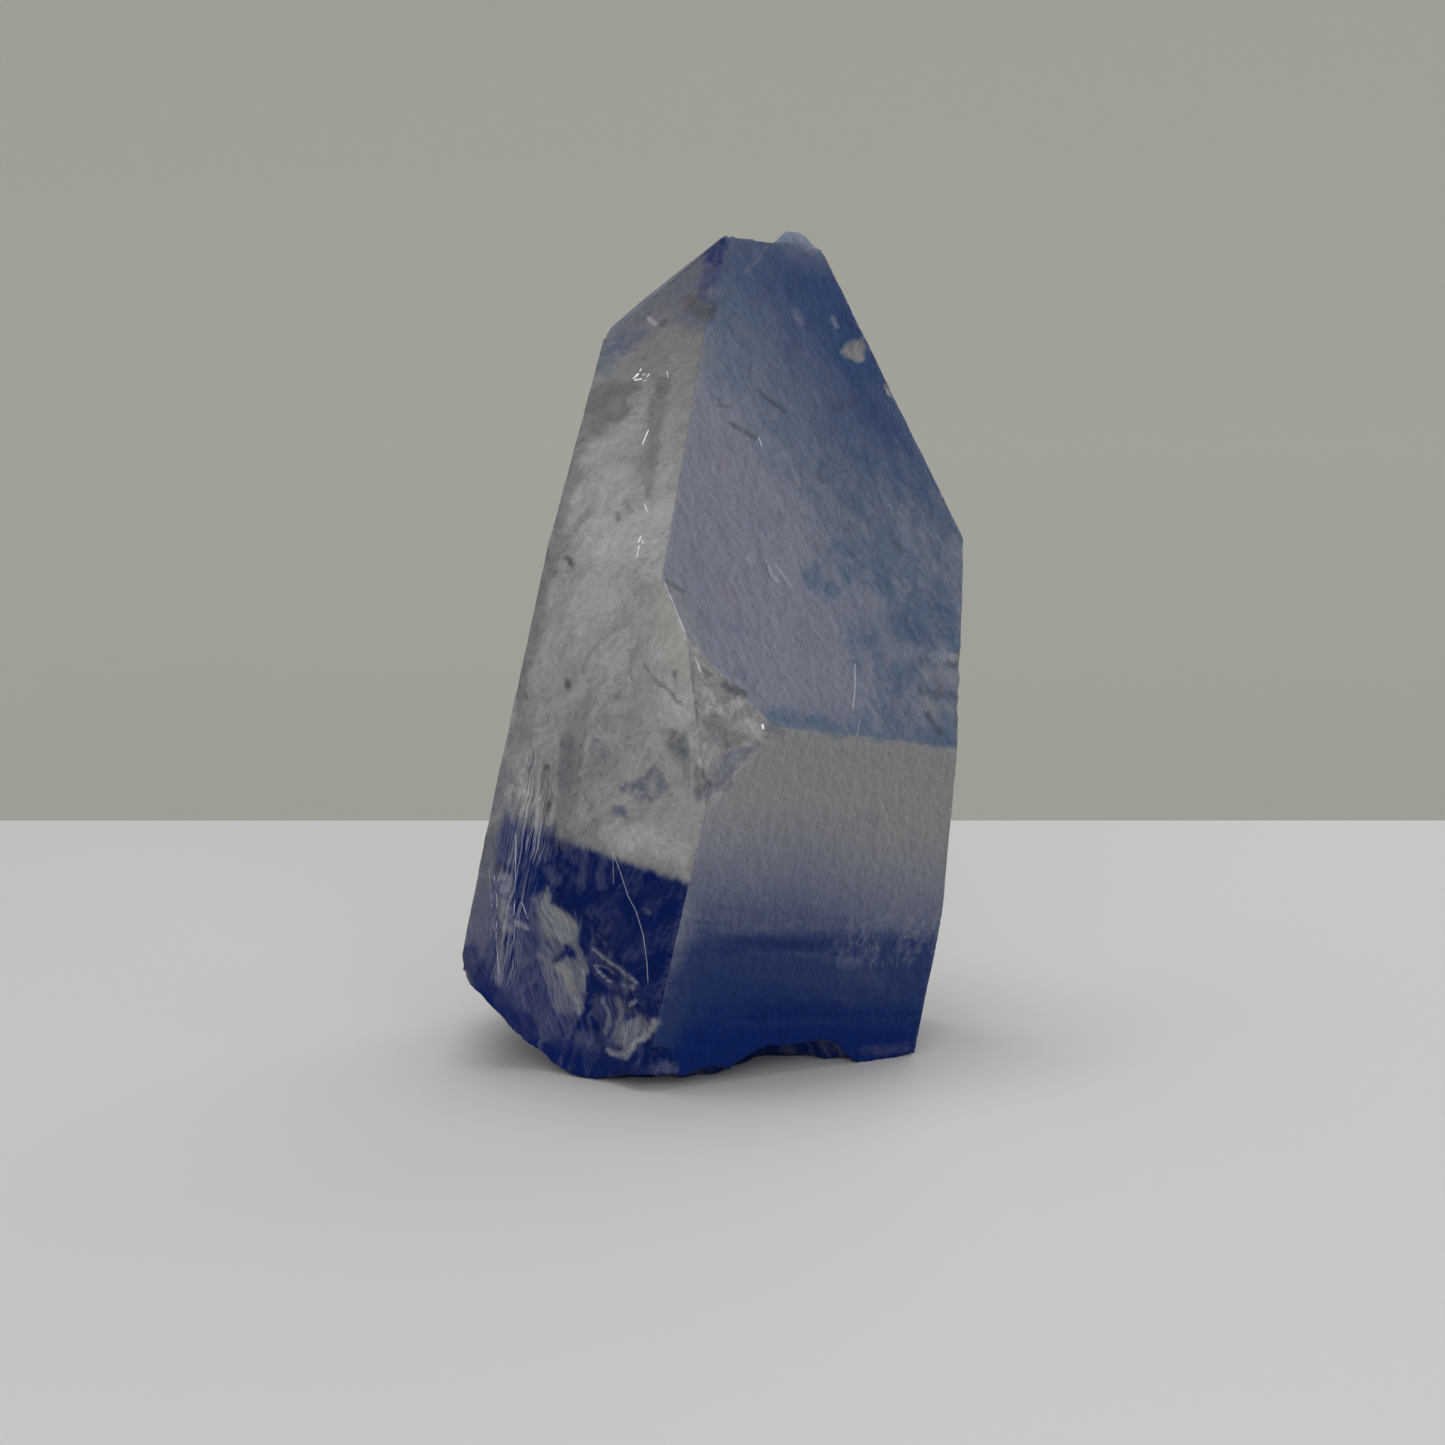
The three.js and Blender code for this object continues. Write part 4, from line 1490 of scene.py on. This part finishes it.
@dataclass
class Crystal:
    """The crystal's fine mesh, worked in millimetres."""

    voxel: float = 0.13
    most_triangles: int = 192_000
    far_side: float = -0.05
    on_face: float = 0.05
    on_break: tuple[float, float] = (0.04, 0.12)
    on_knob: tuple[float, float] = (0.03, 0.1)
    near_broad: float = 0.5
    near_edge: float = 0.25
    inner_margin: float = 0.6
    ridge_reach: float = 0.045
    ridge_cut: float = 0.12
    ridge_dip: float = 0.01
    ridge_lean: float = 0.85
    worn_ridge: float = 0.1
    knob_foot: float = 29.3
    wear: float = 0.035
    wear_band: float = 0.16
    streak_depth: float = 0.035
    striation_depth: float = 0.012
    etch_depth: float = 0.07
    break_depth: float = 0.05
    rim_depth: float = 0.09
    rim_spread: int = 8
    sharp_angle: float = 24.0
    stance: Stance = field(default_factory=Stance)
    view: FrontView = field(default_factory=FrontView)

    def build(self, node: bpy.types.Object) -> bpy.types.Object:
        """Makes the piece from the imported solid.

        Args:
            node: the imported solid.

        Returns:
            The fine piece, in metres.
        """
        mesh = self._fine_mesh(node)
        ridge = self._shape(mesh)
        glints = self._find_glints(mesh)
        piece = bpy.data.objects.new("quartz_point", mesh)
        bpy.context.scene.collection.objects.link(piece)
        mesh.transform(Matrix.Scale(MM, 4))
        mesh.shade_smooth()
        self._sharpen(mesh, ridge)
        mesh.materials.clear()
        mesh.materials.append(DumortieriteQuartz(self.stance, glints).material())
        return piece

    def _find_glints(self, mesh: bpy.types.Mesh) -> tuple[tuple[Glint, tuple[Vector, ...]], ...]:
        """Finds where each glint's path lies on the surface.

        Args:
            mesh: the shaped mesh, in millimetres.

        Returns:
            Each glint with the places of its path.
        """
        corners = [vertex.co for vertex in mesh.vertices]
        surface = BVHTree.FromPolygons(corners, [face.vertices for face in mesh.polygons])
        eye = Vector(self.view.eye)
        found = []
        for glint in GLINTS:
            hits = [surface.ray_cast(eye, self.view.ray(*point))[0] for point in glint.path]
            if all(hits):
                found.append((glint, tuple(hits)))
        return tuple(found)

    def _fine_mesh(self, node: bpy.types.Object) -> bpy.types.Mesh:
        """Makes an even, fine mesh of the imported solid.

        Args:
            node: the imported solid.

        Returns:
            The mesh, in millimetres, with larger triangles on its far side.
        """
        copy = bmesh.new()
        copy.from_mesh(node.data)
        bmesh.ops.remove_doubles(copy, verts=copy.verts, dist=SAME_PLACE)
        bmesh.ops.scale(copy, vec=(1 / MM,) * 3, verts=copy.verts)
        coarse = bpy.data.meshes.new("coarse")
        copy.to_mesh(coarse)
        copy.free()
        stand_in = bpy.data.objects.new("coarse", coarse)
        bpy.context.scene.collection.objects.link(stand_in)
        remesh = stand_in.modifiers.new("fine", "REMESH")
        remesh.mode = "VOXEL"
        remesh.voxel_size = self.voxel
        seen = stand_in.evaluated_get(bpy.context.evaluated_depsgraph_get())
        fine = bpy.data.meshes.new_from_object(seen)
        stand_in.modifiers.clear()
        stand_in.data = fine
        self._thin_far_side(stand_in)
        seen = stand_in.evaluated_get(bpy.context.evaluated_depsgraph_get())
        thinned = bpy.data.meshes.new_from_object(seen)
        bpy.data.objects.remove(stand_in)
        bpy.data.meshes.remove(coarse)
        bpy.data.meshes.remove(fine)
        return thinned

    def _thin_far_side(self, piece: bpy.types.Object) -> None:
        """Collapses the finest triangles on the far side, so that the near side keeps them all.

        Args:
            piece: the piece with the even mesh, which gets a modifier.
        """
        mesh = piece.data
        facing = self.view.facing(self._read(mesh.vertices, "co"), self._read(mesh.vertices, "normal"))
        group = piece.vertex_groups.new(name="far")
        group.add([int(row) for row in np.flatnonzero(facing < self.far_side)], 1.0, "REPLACE")
        triangles = sum(len(face.vertices) - 2 for face in mesh.polygons)
        thin = piece.modifiers.new("thin", "DECIMATE")
        thin.ratio = min(1.0, self.most_triangles / triangles)
        thin.vertex_group = "far"

    def _shape(self, mesh: bpy.types.Mesh) -> np.ndarray:
        """Flattens the natural faces, draws their edges straight, adds the relief and keeps the masks.

        Args:
            mesh: the fine mesh, in millimetres.

        Returns:
            True for each vertex that lies on an edge between two natural faces.
        """
        places = self._read(mesh.vertices, "co")
        normals = self._read(mesh.vertices, "normal")
        lie = self._lie(places)
        ridge = self._true_up(places, lie)
        ground = self._ground(places, lie)
        masks = self._masks(places, lie, ground)
        tones, dents = self._marks(places, normals)
        sunk = self._relief(places, ground, lie.edge) + self._rims(mesh, places, ground.broken)
        places -= normals * (sunk + dents)[:, None]
        places[:, 2] = np.maximum(places[:, 2], 0)
        for name, values in {**masks, **tones}.items():
            kept = mesh.attributes.new(name.value, "FLOAT", "POINT")
            kept.data.foreach_set("value", values.astype(np.float32))
        mesh.vertices.foreach_set("co", places.ravel())
        mesh.update()
        return ridge

    def _lie(self, places: np.ndarray) -> Lie:
        """Measures how the vertices lie to the natural faces.

        Args:
            places: where the vertices are.

        Returns:
            How they lie.
        """
        frames = [self.stance.frame(face) for face in Face]
        outs = np.array([frame.out[:] for frame in frames])
        reach = np.array([frame.foot.dot(frame.out) for frame in frames])
        above = places @ outs.T - reach
        order = np.argsort(-above, axis=1)
        nearest, second = order[:, 0], order[:, 1]
        rows = np.arange(len(places))
        return Lie(outs, above, nearest, second, above[rows, nearest], -above[rows, second])

    def _true_up(self, places: np.ndarray, lie: Lie) -> np.ndarray:
        """Lays the vertices near a natural face on it, and those near an edge on the edge.

        Args:
            places: where the vertices are, which changes.
            lie: how they lie, of which the gap and the way to the edge turn 0 on an edge.

        Returns:
            True for each vertex that lies on an edge between two natural faces.
        """
        worn_pair = [Face.FRONT_LEFT_PRISM.row, Face.FRONT_LEFT_POINT.row]
        gap, edge = lie.gap, lie.edge
        first, second = lie.outs[lie.nearest], lie.outs[lie.second]
        lean = np.sum(first * second, 1)
        crisp = (lean < self.ridge_lean) & (places[:, 2] < self.knob_foot)
        crisp &= ~(np.isin(lie.nearest, worn_pair) & np.isin(lie.second, worn_pair))
        ridge = crisp & (gap > -self.ridge_cut) & (gap < self.on_face)
        ridge &= (edge <= self.ridge_reach) | ((edge <= self.ridge_cut) & (gap < -self.ridge_dip))
        flat = (np.abs(gap) < self.on_face) & ~ridge & ((edge > self.worn_ridge) | crisp)
        places[flat] -= first[flat] * gap[flat, None]
        over, under, lean = -gap[ridge], edge[ridge], lean[ridge]
        places[ridge] += first[ridge] * ((over - lean * under) / (1 - lean * lean))[:, None]
        places[ridge] += second[ridge] * ((under - lean * over) / (1 - lean * lean))[:, None]
        gap[ridge] = edge[ridge] = 0
        LOG.info("%d of %d vertices on faces, %d on edges", flat.sum(), len(places), ridge.sum())
        return ridge

    def _ground(self, places: np.ndarray, lie: Lie) -> Ground:
        """Tells the faces and the breaks apart.

        Args:
            places: where the vertices are.
            lie: how they lie.

        Returns:
            What they lie on.
        """
        broken = ease(-lie.gap, *self.on_break)
        broken[places[:, 2] > self.knob_foot] = 0
        return Ground(
            (lie.nearest == Face.BROAD_POINT.row) * (1 - broken),
            np.isin(lie.nearest, [face.row for face in PRISM_FACES]) * (1 - broken),
            (lie.nearest == Face.ETCHED_CORNER.row) * (1 - broken),
            broken,
        )

    def _masks(self, places: np.ndarray, lie: Lie, ground: Ground) -> dict[Mask, np.ndarray]:
        """Makes the masks that the material reads, apart from the marks.

        Args:
            places: where the vertices are.
            lie: how they lie.
            ground: what they lie on.

        Returns:
            Each mask, with a value for each vertex.
        """
        near_broad = np.abs(lie.above[:, Face.BROAD_POINT.row]) < self.near_broad
        knob = (places[:, 2] > self.knob_foot) & near_broad
        return {
            Mask.KNOB: ease(np.abs(lie.gap), *self.on_knob) * knob,
            Mask.BROKEN: ground.broken,
            Mask.EDGE: ease(-lie.edge, -self.near_edge, 0),
        }

    @staticmethod
    def _read(items: Any, name: str) -> np.ndarray:
        """Reads one vector from each of a mesh's items.

        Args:
            items: the mesh's vertices, or others like them.
            name: what the vector is called there.

        Returns:
            The vectors, one to a row.
        """
        values = np.empty(len(items) * 3)
        items.foreach_get(name, values)
        return values.reshape(-1, 3)

    def _relief(self, places: np.ndarray, ground: Ground, edge: np.ndarray) -> np.ndarray:
        """How deep the relief lies at each place.

        Args:
            places: where the vertices are.
            ground: what they lie on.
            edge: how far each one lies from the nearest crystal edge.

        Returns:
            A depth for each vertex, in millimetres.
        """
        inner = ease(edge, 0.0, self.inner_margin)
        frame = self.stance.frame(Face.BROAD_POINT)
        across, up = places @ np.array(frame.across), places @ np.array(frame.up)
        streaks = np.stack([across * 2.6 + up * 1.4, up * 0.9 - across * 0.4, np.zeros_like(up)], 1)
        sunk = ground.broad * inner * self.streak_depth * Grain(3).share(streaks, 1.0, 2)
        height = places @ np.array(self.stance.long_axis())
        lines = np.stack([height * 5.0, across * 0.25, np.full_like(height, 4.2)], 1)
        sunk += ground.prism * inner * self.striation_depth * Grain(9).share(lines, 1.0, 2)
        worn = np.clip(Grain(21)(places, 0.9, 3) + 0.4, 0, 1)
        sunk += self.wear * ease(-edge, -self.wear_band, 0) * worn
        rough = Grain(31).share(places, 0.55, 3)
        sunk += self.break_depth * ground.broken * rough * ease(places[:, 2], 0.02, 0.4)
        sunk += self.etch_depth * ground.etched * Grain(61).share(places, 0.42, 2)
        return sunk

    def _rims(self, mesh: bpy.types.Mesh, places: np.ndarray, broken: np.ndarray) -> np.ndarray:
        """How deep small chips lie along the rims where breaks meet natural faces.

        Args:
            mesh: the mesh, for its edges.
            places: where the vertices are.
            broken: 1 on the breaks.

        Returns:
            A depth for each vertex, in millimetres.
        """
        ends = np.empty(len(mesh.edges) * 2, np.int32)
        mesh.edges.foreach_get("vertices", ends)
        first, second = ends.reshape(-1, 2).T
        count = np.bincount(ends, minlength=len(places)).clip(1)
        spread = broken.astype(float)
        for _ in range(self.rim_spread):
            total = np.bincount(first, spread[second], len(places))
            total += np.bincount(second, spread[first], len(places))
            spread = 0.5 * spread + 0.5 * total / count
        rim = 4 * spread * (1 - spread) * ease(places[:, 2], 0.05, 0.5)
        return self.rim_depth * rim * ease(Grain(71)(places, 0.5, 2), -0.1, 0.6)

    def _marks(
        self, places: np.ndarray, normals: np.ndarray
    ) -> tuple[dict[Tone, np.ndarray], np.ndarray]:
        """Lays the marks and the chips on the vertices that face the camera.

        Args:
            places: where the vertices are.
            normals: the way that each one faces.

        Returns:
            How strongly each tone shows at each vertex, and how deep the vertex is sunk.
        """
        pixels = self.view.pixels(places)
        seen = ease(self.view.facing(places, normals), 0.02, 0.2)
        bend = np.stack([Grain(41)(places, 0.5, 3), Grain(51)(places, 0.5, 3)], 1)
        tones = {tone: np.zeros(len(places)) for tone in Tone}
        dents = np.zeros(len(places))
        for mark in MARKS:
            share = mark.share(pixels + bend * mark.ragged) * seen
            tones[mark.tone] = np.maximum(tones[mark.tone], share)
            dents += mark.sunk * share
        for chip in CHIPS:
            away = np.linalg.norm(pixels - np.array(chip.place), axis=1)
            dents += chip.depth * ease(-away, -2 * chip.width, 0)
        return tones, dents

    def _sharpen(self, mesh: bpy.types.Mesh, ridge: np.ndarray) -> None:
        """Splits faces along the ridges, and marks the edges where faces meet steeply as sharp.

        Args:
            mesh: the shaped mesh.
            ridge: True for each vertex that lies on an edge between two natural faces.
        """
        copy = bmesh.new()
        copy.from_mesh(mesh)
        for face in list(copy.faces):
            on_ridge = [bool(ridge[corner.index]) for corner in face.verts]
            if on_ridge == [True, False, True, False]:
                bmesh.utils.face_split(face, face.verts[0], face.verts[2])
            elif on_ridge == [False, True, False, True]:
                bmesh.utils.face_split(face, face.verts[1], face.verts[3])
        bmesh.ops.dissolve_degenerate(copy, dist=SAME_PLACE, edges=copy.edges)
        for edge in copy.edges:
            edge.smooth = edge.calc_face_angle(0.0) < math.radians(self.sharp_angle)
        copy.to_mesh(mesh)
        copy.free()


# ---- The studio.


@dataclass(frozen=True)
class Matt:
    """A plain matt finish."""

    colour: Colour
    roughness: float = 0.8

    def material(self, name: str) -> bpy.types.Material:
        """Makes the material.

        Args:
            name: the material's name.

        Returns:
            The material.
        """
        tree = ShaderTree(name)
        inputs = {"Base Color": self.colour, "Roughness": self.roughness}
        surface = tree.node("ShaderNodeBsdfPrincipled", {}, inputs)
        tree.node("ShaderNodeOutputMaterial", {}, {"Surface": surface.outputs[0]})
        return tree.material


@dataclass(frozen=True)
class Lamp:
    """A square soft lamp, with its place, target and size in millimetres and its power in watts."""

    name: str
    place: tuple[float, float, float]
    target: tuple[float, float, float]
    size: float
    power: float

    def build(self) -> None:
        """Hangs the lamp where the camera can't see it."""
        data = bpy.data.lights.new(self.name, "AREA")
        data.size, data.energy = self.size * MM, self.power
        lamp = bpy.data.objects.new(self.name, data)
        lamp.location = Vector(self.place) * MM
        aim = Vector(self.target) - Vector(self.place)
        lamp.rotation_euler = aim.to_track_quat("-Z", "Y").to_euler()
        lamp.visible_camera = False
        bpy.context.scene.collection.objects.link(lamp)


LAMPS = (
    Lamp("above", (-20, 10, 200), (0, 0, 10), 150, 0.15),
    Lamp("front", (10, -230, 60), (0, 0, 12), 200, 0.365),
    Lamp("back", (110, 210, 110), (0, 0, 14), 200, 0.17),
)


@dataclass
class Studio:
    """The camera, the pale floor, the ground under it, the round wall and the light.

    Sizes are in millimetres, apart from the camera's nearest and furthest distances, in metres.
    """

    view: FrontView = field(default_factory=FrontView)
    clip: tuple[float, float] = (0.005, 10.0)
    floor_end: float = 51.0
    reach: float = 900.0
    ground_drop: float = 60.0
    wall_radius: float = 400.0
    wall_height: float = 220.0
    wall_sides: int = 128
    glow: float = 0.4
    floor: Matt = Matt(paint(201, 202, 200))
    wall: Matt = Matt(paint(217, 216, 206))

    def build(self) -> None:
        """Makes everything round the crystal."""
        self._camera()
        self._floor_and_wall()
        self._lights()

    def _camera(self) -> None:
        """Places the camera."""
        data = bpy.data.cameras.new("camera")
        data.lens, data.sensor_width = self.view.lens, self.view.sensor
        data.clip_start, data.clip_end = self.clip
        camera = bpy.data.objects.new("camera", data)
        camera.location = Vector(self.view.eye) * MM
        look = Vector(self.view.target) - Vector(self.view.eye)
        camera.rotation_euler = look.to_track_quat("-Z", "Y").to_euler()
        bpy.context.scene.collection.objects.link(camera)
        bpy.context.scene.camera = camera

    @staticmethod
    def _sheet(name: str, copy: bmesh.types.BMesh, finish: Matt) -> bpy.types.Object:
        """Makes a piece of the backdrop.

        Args:
            name: the piece's name.
            copy: its shape, in millimetres, which is freed.
            finish: its finish.

        Returns:
            The piece.
        """
        bmesh.ops.scale(copy, vec=(MM,) * 3, verts=copy.verts)
        mesh = bpy.data.meshes.new(name)
        copy.to_mesh(mesh)
        copy.free()
        mesh.shade_smooth()
        mesh.materials.append(finish.material(name))
        sheet = bpy.data.objects.new(name, mesh)
        bpy.context.scene.collection.objects.link(sheet)
        return sheet

    def _floor_and_wall(self) -> None:
        """A pale table top that ends behind the crystal, and the ground and the wall far round it."""
        half = (self.reach + self.floor_end) / 2
        table = bmesh.new()
        bmesh.ops.create_grid(table, x_segments=1, y_segments=1, size=1.0)
        bmesh.ops.scale(table, vec=(self.reach, half, 1.0), verts=table.verts)
        bmesh.ops.translate(table, vec=(0.0, self.floor_end - half, 0.0), verts=table.verts)
        self._sheet("floor", table, self.floor)
        ground = bmesh.new()
        bmesh.ops.create_grid(ground, x_segments=1, y_segments=1, size=self.reach)
        bmesh.ops.translate(ground, vec=(0.0, 0.0, -self.ground_drop), verts=ground.verts)
        wall = bmesh.new()
        bmesh.ops.create_cone(
            wall,
            cap_ends=False,
            segments=self.wall_sides,
            radius1=self.wall_radius,
            radius2=self.wall_radius,
            depth=self.wall_height,
        )
        bmesh.ops.translate(wall, vec=(0.0, 0.0, self.wall_height / 2 - self.ground_drop), verts=wall.verts)
        bmesh.ops.reverse_faces(wall, faces=wall.faces)
        for sheet in (self._sheet("ground", ground, self.wall), self._sheet("wall", wall, self.wall)):
            sheet.visible_diffuse = False
            sheet.visible_glossy = False
            sheet.visible_shadow = False

    def _lights(self) -> None:
        """Even light from all round, with broad lamps above, in front and behind."""
        scene = bpy.context.scene
        world = bpy.data.worlds.new("soft_light")
        world.use_nodes = True
        background = world.node_tree.nodes["Background"]
        background.inputs["Color"].default_value = (1.0, 1.0, 1.0, 1.0)
        background.inputs["Strength"].default_value = self.glow
        scene.world = world
        scene.view_settings.view_transform = "Standard"
        for lamp in LAMPS:
            lamp.build()


def main() -> None:
    """Builds the scene and reports each piece."""
    logging.basicConfig(level=logging.INFO, format="%(name)s: %(message)s")
    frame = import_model()
    Studio().build()
    piece = Crystal().build(frame["nodes"]["crystal"])
    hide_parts("crystal")
    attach(piece, "root")
    LOG.info("%s: %d faces", piece.name, len(piece.data.polygons))


if __name__ == "__main__":
    main()
